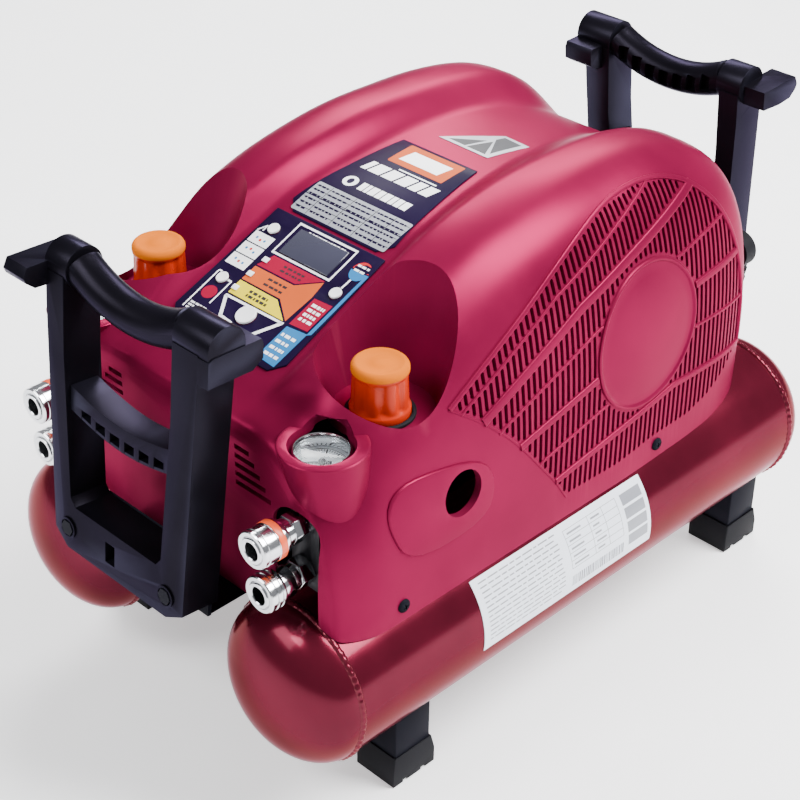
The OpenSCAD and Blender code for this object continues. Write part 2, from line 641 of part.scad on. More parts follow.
module cord_gland() {
    color(black) {
        along_y(118, 196, 262) cylinder(r = 8.7, h = 14);
        along_y(118, 206, 262) cylinder(r = 14, h = 12);
        translate([118, 216, 262]) {
            sphere(r = 9);
            for (k = [0 : 4]) translate([0, 0, -14 - 8 * k]) cylinder(r1 = 7.4 - 0.7 * k, r2 = 8.4 - 0.7 * k, h = 5);
            translate([0, 0, -46]) cylinder(r1 = 5, r2 = 6.4, h = 46);
        }
    }
}

// Sub-part to show
tank_right();
tank_left();
tank_link_pipe();
rating_label();
leg_front_right();
leg_front_left();
leg_rear_right();
leg_rear_left();
foot_front_right();
foot_front_left();
foot_rear_right();
foot_rear_left();
frame();
isolators();
cover();
cover_screws();
control_panel();
lcd_window();
button_pressure();
button_power();
button_mode();
button_info();
top_label();
control_board();
regulator_right();
regulator_left();
knob_right();
knob_left();
knob_seals();
gauge_case_right();
gauge_case_left();
gauge_needle_right();
gauge_needle_left();
gauge_glasses();
coupler_body_right_hi();
coupler_body_right_lo();
coupler_body_left_hi();
coupler_body_left_lo();
coupler_sleeve_right_hi();
coupler_sleeve_right_lo();
coupler_sleeve_left_hi();
coupler_sleeve_left_lo();
handle_front();
handle_rear();
handle_bolts();
motor_stator();
rotor_shaft();
fan();
crankcase();
cylinder_low();
cylinder_high();
piston_low();
piston_high();
air_pipes();
intake_filter();
safety_valve();
safety_valve_pin();
drain_valve();
drain_knob();
cord_gland();
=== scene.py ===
"""Looks of the portable air compressor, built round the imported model."""

import json
import math
from contextlib import contextmanager

import bmesh
import bpy
import numpy as np
from mathutils import Matrix, Vector


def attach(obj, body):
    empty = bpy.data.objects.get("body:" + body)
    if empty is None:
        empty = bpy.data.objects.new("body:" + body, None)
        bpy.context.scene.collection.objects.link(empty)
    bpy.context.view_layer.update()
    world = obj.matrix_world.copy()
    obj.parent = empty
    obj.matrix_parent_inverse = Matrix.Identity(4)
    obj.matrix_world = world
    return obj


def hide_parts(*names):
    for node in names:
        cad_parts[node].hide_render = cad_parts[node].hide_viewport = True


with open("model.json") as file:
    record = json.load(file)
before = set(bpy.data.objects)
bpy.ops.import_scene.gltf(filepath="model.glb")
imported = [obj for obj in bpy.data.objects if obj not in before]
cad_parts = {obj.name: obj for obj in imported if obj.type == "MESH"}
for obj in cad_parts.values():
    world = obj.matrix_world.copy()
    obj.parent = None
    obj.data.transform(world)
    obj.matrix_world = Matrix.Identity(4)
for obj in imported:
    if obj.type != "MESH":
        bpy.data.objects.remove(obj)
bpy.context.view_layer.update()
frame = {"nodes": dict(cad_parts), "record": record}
MM = 0.001
NODES = frame["nodes"]
BODY = {n: b for b, ns in frame["record"]["behaviour"]["bodies"].items() for n in ns}
SLOT = {s["node"]: s["material_slot"] for s in frame["record"]["subparts"]}


# ---------------------------------------------------------------- materials
def socket(node, name, value):
    node.inputs[name].default_value = value


def material(name, color, rough=0.4, metal=0.0, vary=0.08, grain=900.0, bump=0.05,
             wear=0.0, wear_color=None, streak=None, rough_vary=0.10, **extra):
    """Procedural surface: broad colour drift, fine grain in bump and roughness, worn edges."""
    m = bpy.data.materials.new(name)
    m.use_nodes = True
    nodes, link = m.node_tree.nodes, m.node_tree.links.new
    shader = nodes["Principled BSDF"]

    def add(kind, **values):
        made = nodes.new("ShaderNode" + kind)
        for key, value in values.items():
            socket(made, key.replace("_", " "), value)
        return made

    place = add("Mapping", Scale=streak or (1.0, 1.0, 1.0))
    link(add("TexCoord").outputs["Object"], place.inputs["Vector"])
    broad = add("TexNoise", Scale=14.0, Detail=5.0)
    fine = add("TexNoise", Scale=grain, Detail=3.0)
    for noise in (broad, fine):
        link(place.outputs["Vector"], noise.inputs["Vector"])
    ramp = add("ValToRGB")
    dark = [max(0.0, c * (1 - vary)) for c in color[:3]] + [1]
    light = [min(1.0, c * (1 + vary)) for c in color[:3]] + [1]
    ramp.color_ramp.elements[0].position = 0.32
    ramp.color_ramp.elements[0].color = dark
    ramp.color_ramp.elements[1].position = 0.68
    ramp.color_ramp.elements[1].color = light
    link(broad.outputs["Fac"], ramp.inputs["Fac"])
    colour = ramp.outputs["Color"]
    if wear:
        edge = add("MapRange", From_Min=0.52, From_Max=0.62)
        link(add("NewGeometry").outputs["Pointiness"], edge.inputs["Value"])
        patch, amount = add("Math"), add("Math")
        patch.operation = amount.operation = "MULTIPLY"
        link(edge.outputs["Result"], patch.inputs[0])
        link(broad.outputs["Fac"], patch.inputs[1])
        link(patch.outputs["Value"], amount.inputs[0])
        amount.inputs[1].default_value = wear
        mix = add("Mix")
        mix.data_type = "RGBA"
        mix.inputs["B"].default_value = list(wear_color or light[:3])[:3] + [1]
        link(amount.outputs["Value"], mix.inputs["Factor"])
        link(colour, mix.inputs["A"])
        colour = mix.outputs["Result"]
    link(colour, shader.inputs["Base Color"])
    gloss = add("MapRange", To_Min=max(0.02, rough - rough_vary), To_Max=min(1.0, rough + rough_vary))
    link(broad.outputs["Fac"], gloss.inputs["Value"])
    link(gloss.outputs["Result"], shader.inputs["Roughness"])
    relief = add("Bump", Strength=bump, Distance=0.0004)
    link(fine.outputs["Fac"], relief.inputs["Height"])
    link(relief.outputs["Normal"], shader.inputs["Normal"])
    socket(shader, "Metallic", metal)
    for key, value in extra.items():
        socket(shader, key.replace("_", " "), value)
    return m


def ink(name, color):
    return material(name, color, 0.42, vary=0.10, grain=2000, bump=0.04, Specular_IOR_Level=0.02)


MAT = {
    "crimson": material("crimson_plastic", (0.160, 0.005, 0.033), 0.34, metal=0.42, vary=0.12, grain=1500,
                        bump=0.08, wear=0.3, wear_color=(0.38, 0.04, 0.09), Specular_IOR_Level=0.03,
                        Specular_Tint=(1.0, 0.35, 0.50, 1.0)),
    "plum": material("plum_enamel", (0.092, 0.007, 0.018), 0.20, metal=0.60, vary=0.16, grain=2200,
                     bump=0.05, wear=0.4, wear_color=(0.30, 0.10, 0.10), Specular_IOR_Level=0.04,
                     Specular_Tint=(0.75, 0.30, 0.36, 1.0), Coat_Weight=0.10, Coat_Roughness=0.06),
    "powder": material("black_powder_coat", (0.005, 0.005, 0.008), 0.42, vary=0.2, grain=1400, bump=0.18,
                       wear=0.5, wear_color=(0.025, 0.025, 0.035), Specular_IOR_Level=0.015),
    "handle": material("black_handle_plastic", (0.0088, 0.0078, 0.0115), 0.32, metal=0.7, vary=0.22,
                       grain=1800, bump=0.12, wear=0.45, wear_color=(0.05, 0.05, 0.08),
                       Specular_IOR_Level=0.03,
                       Specular_Tint=(0.50, 0.48, 0.56, 1.0)),
    "rubber": material("moulded_rubber", (0.008, 0.008, 0.010), 0.60, vary=0.25, grain=700, bump=0.25,
                       Specular_IOR_Level=0.08),
    "panel": material("printed_overlay", (0.008, 0.004, 0.020), 0.34, vary=0.15, grain=2600, bump=0.06,
                      Specular_IOR_Level=0.02),
    "white": material("white_plastic", (0.80, 0.80, 0.82), 0.35, vary=0.05, grain=1700, bump=0.06),
    "paper": material("label_vinyl", (0.78, 0.82, 0.90), 0.40, vary=0.04, grain=2400, bump=0.08,
                      Coat_Weight=0.2, Coat_Roughness=0.3),
    "grey_print": material("grey_ink", (0.22, 0.23, 0.26), 0.5, vary=0.15, grain=2400, bump=0.05),
    "chrome": material("chrome_plate", (0.66, 0.67, 0.69), 0.14, metal=1.0, vary=0.06, grain=1200,
                       bump=0.04, rough_vary=0.06),
    "steel": material("turned_steel", (0.42, 0.42, 0.44), 0.30, metal=1.0, vary=0.12, grain=500, bump=0.08,
                      streak=(1.0, 1.0, 8.0)),
    "alloy": material("cast_alloy", (0.42, 0.43, 0.45), 0.45, metal=0.9, vary=0.12, grain=420, bump=0.25),
    "dark_alloy": material("anodised_alloy", (0.020, 0.020, 0.024), 0.45, metal=0.6, vary=0.15, grain=500,
                           bump=0.15),
    "copper": material("copper_tube", (0.55, 0.24, 0.12), 0.30, metal=1.0, vary=0.15, grain=600, bump=0.06),
    "brass": material("turned_brass", (0.62, 0.43, 0.15), 0.28, metal=1.0, vary=0.10, grain=700, bump=0.06),
    "amber": material("orange_plastic", (0.42, 0.022, 0.004), 0.26, vary=0.12, grain=1600, bump=0.06,
                      Transmission_Weight=0.10, IOR=1.45, Specular_IOR_Level=0.12),
    "amber_top": material("orange_cap", (0.50, 0.115, 0.003), 0.45, vary=0.08, grain=1600, bump=0.08,
                          Specular_IOR_Level=0.005),
    "clear": material("clear_lens", (0.93, 0.96, 0.98), 0.05, vary=0.02, grain=600, bump=0.01,
                      rough_vary=0.03, Transmission_Weight=1.0, IOR=1.3),
    "dial": material("dial_card", (0.82, 0.83, 0.84), 0.45, vary=0.03, grain=2000, bump=0.04),
    "ink": material("black_ink", (0.02, 0.02, 0.025), 0.45, vary=0.15, grain=2000, bump=0.04,
                    Specular_IOR_Level=0.12),
    "red": ink("red_ink", (0.40, 0.02, 0.02)),
    "magenta": ink("crimson_ink", (0.24, 0.004, 0.028)),
    "orange": ink("orange_ink", (0.46, 0.080, 0.018)),
    "yellow": ink("yellow_ink", (0.62, 0.50, 0.003)),
    "blue": ink("blue_ink", (0.020, 0.14, 0.33)),
    "sticker": material("grey_sticker", (0.24, 0.25, 0.28), 0.32, vary=0.08, grain=2600, bump=0.05),
    "screen": material("lcd_screen", (0.15, 0.17, 0.24), 0.25, vary=0.10, grain=1500, bump=0.02),
    "lcd": material("lcd_glass", (0.03, 0.03, 0.05), 0.14, vary=0.12, grain=900, bump=0.02, rough_vary=0.05,
                    Coat_Weight=0.6, Coat_Roughness=0.05),
    "board": material("circuit_board", (0.03, 0.13, 0.06), 0.4, vary=0.2, grain=300, bump=0.2),
    "band": material("coupler_band", (0.80, 0.09, 0.02), 0.36, vary=0.1, grain=1500, bump=0.06),
}
FINISH = {
    "plum_paint": "plum", "black_paint": "powder", "crimson_plastic": "crimson", "black_plastic": "handle",
    "black_rubber": "rubber", "panel_print": "panel", "white_plastic": "white", "label_paper": "paper",
    "amber_plastic": "amber", "clear": "clear", "chrome": "chrome", "steel": "steel", "alloy": "alloy",
    "copper_tube": "copper", "brass": "brass",
}


# ---------------------------------------------------------------- helpers
def adopt(obj, body, mat=None):
    """Gives a finished object its material and its body."""
    if mat:
        obj.data.materials.clear()
        obj.data.materials.append(MAT[mat])
    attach(obj, body)
    return obj


def new_object(name, bm_or_mesh):
    if isinstance(bm_or_mesh, bmesh.types.BMesh):
        mesh = bpy.data.meshes.new(name)
        bm_or_mesh.to_mesh(mesh)
        bm_or_mesh.free()
    else:
        mesh = bm_or_mesh
    obj = bpy.data.objects.new(name, mesh)
    bpy.context.scene.collection.objects.link(obj)
    return obj


@contextmanager
def editing(obj):
    """Opens an object's mesh for editing and writes it back."""
    bm = bmesh.new()
    bm.from_mesh(obj.data)
    yield bm
    bm.to_mesh(obj.data)
    bm.free()


def outward(obj):
    """Turns all faces of a closed mesh outwards."""
    with editing(obj) as bm:
        bmesh.ops.recalc_face_normals(bm, faces=bm.faces)
        if bm.calc_volume(signed=True) < 0:
            bmesh.ops.reverse_faces(bm, faces=bm.faces)
    return obj


def consistent(obj):
    """Turns neighbouring faces of a mesh the same way round."""
    with editing(obj) as bm:
        bmesh.ops.recalc_face_normals(bm, faces=bm.faces)
    return obj


def mesh_from(name, verts, faces):
    mesh = bpy.data.meshes.new(name)
    mesh.from_pydata([tuple(v) for v in verts], [], [tuple(int(i) for i in f) for f in faces])
    mesh.validate()
    return outward(new_object(name, mesh))


def smooth(obj, angle=35.0):
    for p in obj.data.polygons:
        p.use_smooth = True
    obj.data.set_sharp_from_angle(angle=math.radians(angle))


def apply_modifiers(obj):
    bpy.context.view_layer.update()
    graph = bpy.context.evaluated_depsgraph_get()
    mesh = bpy.data.meshes.new_from_object(obj.evaluated_get(graph))
    obj.modifiers.clear()
    obj.data = mesh


def bevel(obj, width, segments=2, angle=32.0):
    b = obj.modifiers.new("edge", "BEVEL")
    b.width = width
    b.segments = segments
    b.limit_method = "ANGLE"
    b.angle_limit = math.radians(angle)
    b.use_clamp_overlap = True
    apply_modifiers(obj)


def refined(node, mat, width=0.8, segments=2, angle=32.0):
    """A copy of a CAD node with its triangles merged back to clean faces and its edges rounded."""
    src = NODES[node]
    bm = bmesh.new()
    bm.from_mesh(src.data)
    bmesh.ops.remove_doubles(bm, verts=bm.verts, dist=1e-6)
    bmesh.ops.dissolve_limit(bm, angle_limit=math.radians(1.2), verts=bm.verts, edges=bm.edges)
    obj = new_object(node + "_shaped", bm)
    bevel(obj, width * MM, segments, angle)
    smooth(obj, 38)
    adopt(obj, BODY[node], mat)
    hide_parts(node)
    return obj


def stitched(rows, n, loop=False, ring=True):
    """Faces between neighbouring rows of n points; loop also joins the last row to the first."""
    return [(k * n + i, (k + 1) % rows * n + i, (k + 1) % rows * n + (i + 1) % n, k * n + (i + 1) % n)
            for k in range(rows if loop else rows - 1) for i in range(n if ring else n - 1)]


def caps(rows, n):
    """The faces that close the first and the last row."""
    return [tuple(range(n)), tuple((rows - 1) * n + k for k in range(n - 1, -1, -1))]


def lathe(name, profile, segments=96, axis="Z", at=(0, 0, 0), closed=False):
    """Turns [radius, height] pairs (mm) round an axis through a point."""
    verts = []
    for k in range(segments):
        a = 2 * math.pi * k / segments
        for r, h in profile:
            p = (r * math.cos(a), r * math.sin(a), h)
            if axis == "Y":
                p = (r * math.cos(a), h, r * math.sin(a))
            elif axis == "X":
                p = (h, r * math.cos(a), r * math.sin(a))
            verts.append([(p[i] + at[i]) * MM for i in range(3)])
    obj = mesh_from(name, verts, stitched(segments, len(profile), True, closed))
    with editing(obj) as bm:
        bmesh.ops.remove_doubles(bm, verts=bm.verts, dist=1e-7)
        holes = [e for e in bm.edges if e.is_boundary]
        if holes:
            bmesh.ops.holes_fill(bm, edges=holes)
        bmesh.ops.recalc_face_normals(bm, faces=bm.faces)
    smooth(obj, 40)
    return obj


def prism(name, outline, low, high, plane="XY"):
    """Extrudes an outline (mm) between two levels along the third axis."""
    n = len(outline)
    verts = []
    for level in (low, high):
        for a, b in outline:
            p = {"XY": (a, b, level), "XZ": (a, level, b), "YZ": (level, a, b)}[plane]
            verts.append([c * MM for c in p])
    faces = [tuple(range(n)), tuple(range(2 * n - 1, n - 1, -1))]
    faces += [(i, (i + 1) % n, n + (i + 1) % n, n + i) for i in range(n)]
    return consistent(mesh_from(name, verts, faces))


def joined(name, objs):
    bm = bmesh.new()
    for o in objs:
        bm.from_mesh(o.data)
        bpy.data.objects.remove(o)
    return new_object(name, bm)


def boolean(obj, tool, operation="DIFFERENCE"):
    m = obj.modifiers.new("cut", "BOOLEAN")
    m.operation = operation
    m.solver = "EXACT"
    m.object = tool
    apply_modifiers(obj)
    bpy.data.objects.remove(tool)


def rect(x0, y0, x1, y1):
    return [(x0, y0), (x1, y0), (x1, y1), (x0, y1)]


def arc(cx, cy, rx, ry, angles):
    """Points at the given angles (degrees) on an ellipse round a centre."""
    return [(cx + rx * math.cos(math.radians(a)), cy + ry * math.sin(math.radians(a))) for a in angles]


def ellipse(cx, cy, rx, ry, n=64):
    return [(cx + rx * math.cos(2 * math.pi * k / n), cy + ry * math.sin(2 * math.pi * k / n))
            for k in range(n)]


# ---------------------------------------------------------------- cover surface (same rows as the part)
COVER_Z = 152.2
# y, height of the channel, top, half width of the channel, shoulder, side, power of the side's curve
ROWS = np.array([
    [-245, 276, 276, 56, 62, 138, 2.2], [-243, 283, 283, 56, 62, 146, 2.2],
    [-238, 289, 289, 56, 62, 151, 2.2], [-220, 297.4, 298, 57, 66, 156, 2.3],
    [-200, 306, 314, 57, 74, 158, 2.6], [-160, 323.2, 337, 56, 77, 158, 2.9],
    [-120, 340.4, 357, 54, 76, 158, 2.9], [-80, 356.6, 371, 51, 75, 158, 3.0],
    [-40, 365, 379, 46, 74, 158, 3.1], [0, 370, 384, 42, 74, 158, 3.1],
    [40, 371, 385, 38, 74, 158, 3.0], [80, 368, 383, 34, 75, 157, 3.0],
    [120, 359, 376, 30, 76, 156, 3.0], [150, 346, 364, 26, 77, 154, 3.1],
    [175, 326, 346, 24, 78, 149, 3.2], [190, 302, 322, 22, 78, 142, 3.3],
    [198, 272, 290, 20, 78, 130, 3.6]], float)
LAST = len(ROWS) - 1


def pick(i):
    return ROWS[max(0, min(LAST, i))]


def row(u):
    """A row of the cover at a place between the given ones, on a smooth curve through them."""
    i = min(LAST - 1, int(math.floor(u)))
    t = u - i
    a, b, c, d = pick(i - 1), pick(i), pick(i + 1), pick(i + 2)
    return 0.5 * (2 * b + (c - a) * t + (2 * a - 5 * b + 4 * c - d) * t * t
                  + (3 * b - a - 3 * c + d) * t ** 3)


def lean_back(y, z):
    """y of a point of the cover, whose rear leans back a little with height."""
    return y + 0.05 * max(0.0, z - COVER_Z) * max(0.0, min(1.0, y / 200))


def half(r, t, foot, n, flat=8):
    """Right half of the cover's cross-section for a row, drawn in by t, down to the level foot."""
    pts = [(0.0, r[1] - t)]
    for k in range(flat + 1):
        s = k / flat
        pts.append((r[3] + (r[4] - r[3]) * s, r[1] - t + (r[2] - r[1]) * s * s * (3 - 2 * s)))
    for k in range(1, n + 1):
        a = math.radians(90 * k / n)
        pts.append((r[4] + (r[5] - t - r[4]) * math.sin(a) ** (2 / r[6]),
                    foot + (r[2] - t - foot) * max(0.0, math.cos(a)) ** (2 / r[6])))
    return pts


def cover_solid(name, t, foot, step, n):
    """The cover as a closed solid, drawn in by t mm."""
    squeeze = 1 - t / 245
    verts = []
    rows = [row(u) for u in np.arange(0, LAST + 1e-6, step)]
    for r in rows:
        right = half(r, t, foot, n)
        ring = [(-x, z) for x, z in right[:0:-1]] + right
        verts += [(x * MM, lean_back(r[0] * squeeze, z) * MM, z * MM) for x, z in ring]
    return mesh_from(name, verts, stitched(len(rows), len(ring)) + caps(len(rows), len(ring)))


def cone(name, x, y, z, r1, r2, h):
    obj = lathe(name, [(0, 0), (r1, 0), (r2, h), (0, h)])
    obj.data.transform(Matrix.Translation(Vector((x, y, z)) * MM))
    return obj


# places in the part, in mm
KNOB = (111, -166, 284)
GAUGE = (119, -225, 288)
TANK_X, TANK_Z, TANK_R, TANK_DOME = 114, 107, 61, 38
TANK_SEAMS = (-243, 233)
TURRET_LOW, TURRET_TOP = 222, 291
HANDLE_Y, HANDLE_Z = 305, 159
PANEL_RISE, PANEL_Y, PANEL_Z = 0.43, -200, 306
SCREWS = ((-190, 158.1), (77, 157.2))  # y and the x of the cover's side there
SCREW_Z = 165
PORT = (-135, 228, 17)  # y, z, radius
HANDLE_LEAN = 5.4
# outline of the louvred field on the side: (y, z)
FIELD = [(-139, 290), (-80, 321), (-15, 354), (29, 368), (69, 371), (103, 365), (132, 350), (158, 322),
         (176, 280), (184, 240), (182, 205), (160, 188), (139, 178), (114, 172), (70, 172), (30, 168),
         (-27, 170), (-39, 189), (-50, 202), (-80, 240), (-109, 268)]


def z_span(poly, y):
    """Lowest and highest z of an outline at y, or None beside it."""
    zs = []
    for i, p in enumerate(poly):
        q = poly[(i + 1) % len(poly)]
        if (p[0] - y) * (q[0] - y) <= 0 and p[0] != q[0]:
            zs.append(p[1] + (y - p[0]) / (q[0] - p[0]) * (q[1] - p[1]))
    return (min(zs), max(zs)) if len(zs) > 1 else None


# bars across the louvres: centre line points (y, z) and width
RIBS = [([(-150, 253), (-121, 266), (-12, 314), (125, 353), (170, 364)], 7.5),
        ([(-160, 268), (-123, 286), (-34, 329), (77, 366), (110, 376)], 2.0),
        ([(-110, 250), (-93, 258), (-2, 290), (60, 305), (100, 312), (153, 321), (190, 326)], 2.0),
        ([(-110, 229), (-87, 234), (7, 255), (115, 283), (171, 287), (190, 289)], 5.5),
        ([(-70, 207), (-53, 214), (12, 228), (116, 249), (170, 247), (190, 246)], 2.0),
        ([(-70, 186), (-50, 188), (92, 210), (179, 206), (190, 205)], 5.0)]
BADGE = (58.5, 266, 56, 56)


def louvre_spans(y):
    """Open stretches of z along the line y of the louvre field, between ribs and round the badge."""
    span = z_span(FIELD, y)
    if not span:
        return []
    if span[1] - span[0] < 8:
        return []
    open_z = [(span[0] + 2, span[1] - 2)]
    blocked = []
    for path, width in RIBS:
        z = float(np.interp(y, [p[0] for p in path], [p[1] for p in path]))
        blocked.append((z - width / 2, z + width / 2))
    by, bz, bw, bh = BADGE
    if abs(y - by) < bw + 1.5:
        d = (bh + 1.5) * math.sqrt(1 - ((y - by) / (bw + 1.5)) ** 2)
        blocked.append((bz - d, bz + d))
    for lo, hi in blocked:
        nxt = []
        for a, b in open_z:
            if lo < b and hi > a:
                if lo - a > 3:
                    nxt.append((a, lo))
                if b - hi > 3:
                    nxt.append((hi, b))
            else:
                nxt.append((a, b))
        open_z = nxt
    return open_z


def flip_side(obj):
    """Moves a mesh to the other side of the middle plane."""
    obj.data.transform(Matrix.Scale(-1, 4, (1, 0, 0)))
    obj.data.flip_normals()


def mirrored(objs):
    """The objects together with their mirror copies."""
    out = []
    for o in objs:
        c = new_object(o.name + "_m", o.data.copy())
        flip_side(c)
        out.append(c)
    return objs + out


TABLE = np.array([row(u) for u in np.linspace(0, LAST, 600)])


def side_point(y, z):
    """x of the cover's outer side at y, z."""
    rise = 0.05 * max(0.0, z - COVER_Z)
    flat = y / (1 + rise / 200) if y > 0 else y
    top, inner, outer, power = (float(np.interp(flat, TABLE[:, 0], TABLE[:, k])) for k in (2, 4, 5, 6))
    t = max(0.0, min(1.0, (z - COVER_Z) / (top - COVER_Z)))
    return inner + (outer - inner) * max(0.0, 1 - t ** power) ** (1 / power)


def raised(name, outline, centre, rings):
    """A plateau on the cover's right side: rings of (scale of the outline about the centre, height)."""
    verts = []
    n = len(outline)
    cy, cz = centre
    for s, h in rings:
        for y, z in outline:
            y, z = cy + (y - cy) * s, cz + (z - cz) * s
            verts.append(((side_point(y, z) + h) * MM, y * MM, z * MM))
    verts.append(((side_point(cy, cz) + rings[-1][1]) * MM, cy * MM, cz * MM))
    last = (len(rings) - 1) * n
    faces = stitched(len(rings), n)
    faces += [(last + k, last + (k + 1) % n, len(verts) - 1) for k in range(n)]
    faces.append(tuple(range(n - 1, -1, -1)))
    return mesh_from(name, verts, faces)


def bead(name, path, half_width, height):
    """A moulded bar standing on the cover's right side along a path of (y, z)."""
    spots, normals = [], []
    for y, z in path:
        x = side_point(y, z)
        dy = side_point(y + 0.5, z) - side_point(y - 0.5, z)
        dz = side_point(y, z + 0.5) - side_point(y, z - 0.5)
        spots.append(Vector((x, y, z)))
        normals.append(Vector((1, -dy, -dz)).normalized())
    shape = [(-1, -1.2), (-1, 0.5), (-0.86, 0.85), (-0.6, 1), (0.6, 1), (0.86, 0.85), (1, 0.5), (1, -1.2)]
    n, m = len(spots), len(shape)
    verts = []
    for i, (p, up) in enumerate(zip(spots, normals)):
        along = (spots[min(n - 1, i + 1)] - spots[max(0, i - 1)]).normalized()
        across = up.cross(along).normalized()
        for a, b in shape:
            verts.append((p + across * (a * half_width) + up * (b * height if b > 0 else b)) * MM)
    obj = mesh_from(name, verts, stitched(n, m) + caps(n, m))
    smooth(obj, 50)
    return obj


def rounded_path(points, times=3, closed=True):
    """Corner cutting: every corner replaced by two points, a few times."""
    for _ in range(times):
        out = []
        n = len(points)
        for i in range(n if closed else n - 1):
            a, b = points[i], points[(i + 1) % n]
            out += [(a[0] * 0.75 + b[0] * 0.25, a[1] * 0.75 + b[1] * 0.25),
                    (a[0] * 0.25 + b[0] * 0.75, a[1] * 0.25 + b[1] * 0.75)]
        points = out if closed else [points[0]] + out + [points[-1]]
    return points


def turret():
    """The leaning tube round a gauge, with a rounded lip."""
    height = TURRET_TOP - TURRET_LOW
    steps = [(height - 2) * k / 16 for k in range(17)]
    rings = [(TURRET_LOW + h, 21 + 9 * h / height) for h in steps]
    rings += [(TURRET_TOP - 1.0, 29.9), (TURRET_TOP - 0.3, 29.2), (TURRET_TOP, 28.2)]
    verts = []
    n = 96
    for z, r in rings:
        t = (z - TURRET_LOW) / height
        x, y = GAUGE[0] - 2 + 1.8 * t, GAUGE[1] + 12 - 10.9 * t
        for k in range(n):
            a = 2 * math.pi * k / n
            verts.append(((x + r * math.cos(a)) * MM, (y + r * math.sin(a)) * MM, z * MM))
    return mesh_from("turret", verts, stitched(len(rings), n) + caps(len(rings), n))


def coupler_opening():
    """Outline of the opening round a pair of couplers: a straight slot with a round top."""
    return [(TANK_X - 21, 142)] + arc(TANK_X, 227, 21, 21, range(180, -1, -10)) + [(TANK_X + 21, 142)]


def build_cover():
    step, n = 0.125, 26
    body = cover_solid("cover_shell", 0, COVER_Z, step, n)
    pad = raised("pad",
                 rounded_path([(-201, 230), (-185, 196), (-112, 195), (-102, 222), (-116, 247), (-174, 258),
                               (-197, 251)], 2),
                 (-150, 226), [(1.0, -2.0), (1.0, 0.9), (0.985, 1.6), (0.96, 1.8), (0.5, 1.8)])
    boolean(body, joined("add", mirrored([turret(), pad])), "UNION")
    hollow = cover_solid("hollow", 3, COVER_Z - 12, 0.25, 18)
    wall = mirrored([cone("bowl_wall", KNOB[0] - 3, KNOB[1] + 6, KNOB[2] - 3, 37, 62, 80)])
    boolean(hollow, joined("walls", wall))
    boolean(body, hollow)
    cuts = [cone("bowl", KNOB[0] - 3, KNOB[1] + 6, KNOB[2], 34, 59, 80),
            lathe("gauge_hole", [(0, 250), (8, 250), (8, 272), (21, 272), (21, 288.6), (22.4, 291.4),
                                 (22.4, 299), (0, 299)],
                  96, "Z", (GAUGE[0], GAUGE[1], 0)),
            prism("coupler_hole", coupler_opening(), -250, -222, "XZ"),
            prism("port", ellipse(PORT[0], PORT[1], PORT[2], PORT[2], 48), 140, 180, "YZ")]
    cuts += [prism("screw_hole", ellipse(y, SCREW_Z, 2.8, 2.8, 20), 140, 180, "YZ") for y, _ in SCREWS]
    for k in range(5):
        cuts.append(prism("vent", rect(58, 240 + 7 * k, 92 - 5 * k, 243.6 + 7 * k), -250, -236, "XZ"))
    for k in range(6):
        cuts.append(prism("rear_vent", rect(12, 180 + 14 * k, 92, 186 + 14 * k), 180, 220, "XZ"))
    pitch, gap = 5.6, 3.0
    y = -137.0
    while y < 184:
        inner = 141 if y < -95 else 100
        for lo, hi in louvre_spans(y + gap / 2):
            a, b = lo + 0.4, hi - 0.4
            slot = [(y, a + 1), (y + gap * 0.3, a), (y + gap * 0.7, a), (y + gap, a + 1),
                    (y + gap, b - 1), (y + gap * 0.7, b), (y + gap * 0.3, b), (y, b - 1)]
            cuts.append(prism("louvre", slot, inner, 180, "YZ"))
        y += pitch
    cuts = mirrored(cuts)
    cuts.append(prism("gland_hole", ellipse(118, 262, 9, 9, 32), 190, 222, "XZ"))
    boolean(body, joined("cuts", cuts))
    gaps = [lathe("tank_gap", [(0, -250), (TANK_R + 1.5, -250), (TANK_R + 1.5, 225), (0, 225)], 96, "Y",
                  (TANK_X, 0, TANK_Z)),
            cone("knob_hole", KNOB[0], KNOB[1], KNOB[2] - 10, 20.9, 20.9, 14)]
    boolean(body, joined("gaps", mirrored(gaps)))
    return body


cover = build_cover()
smooth(cover, 28)
adopt(cover, "chassis", "crimson")
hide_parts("cover")


def grille_trim():
    """Raised bars and the lip round the louvred field, both sides."""
    out = []
    for path, width in RIBS:
        ys = [p[0] for p in path]
        run = []
        for y in np.arange(ys[0], ys[-1], 2.0):
            z = float(np.interp(y, ys, [p[1] for p in path]))
            span = z_span(FIELD, y)
            inside = span and span[0] - 2 < z < span[1] + 1
            if inside and math.hypot(y - BADGE[0], z - BADGE[1]) > BADGE[2] + 0.5:
                run.append((float(y), z))
            else:
                if len(run) > 3:
                    out.append(bead("bar", run, width / 2, 1.3 if width > 3 else 0.7))
                run = []
        if len(run) > 3:
            out.append(bead("bar", run, width / 2, 1.3 if width > 3 else 0.7))
    edge = rounded_path(FIELD[:11], 3, False)
    out.append(bead("lip", edge, 1.9, 1.4))
    out.append(bead("step", rounded_path([FIELD[0], FIELD[20], FIELD[19], FIELD[18], FIELD[17], FIELD[16]],
                                         2, False), 0.8, 0.5))
    return out


trim = joined("grille_trim", mirrored(grille_trim()))
smooth(trim, 50)
adopt(trim, "chassis", "crimson")


# ---------------------------------------------------------------- tanks
def tank_profile():
    front, rear = TANK_SEAMS
    dome = arc(0, 0, TANK_R, TANK_DOME, range(0, 91, 5))
    pts = [(r, front - h) for r, h in reversed(dome)]
    pts += [(TANK_R, front + (rear - front) * k / 12) for k in range(1, 12)]
    pts += [(r, rear + h) for r, h in dome]
    pts[0] = (0, pts[0][1])
    pts[-1] = (0, pts[-1][1])
    return pts


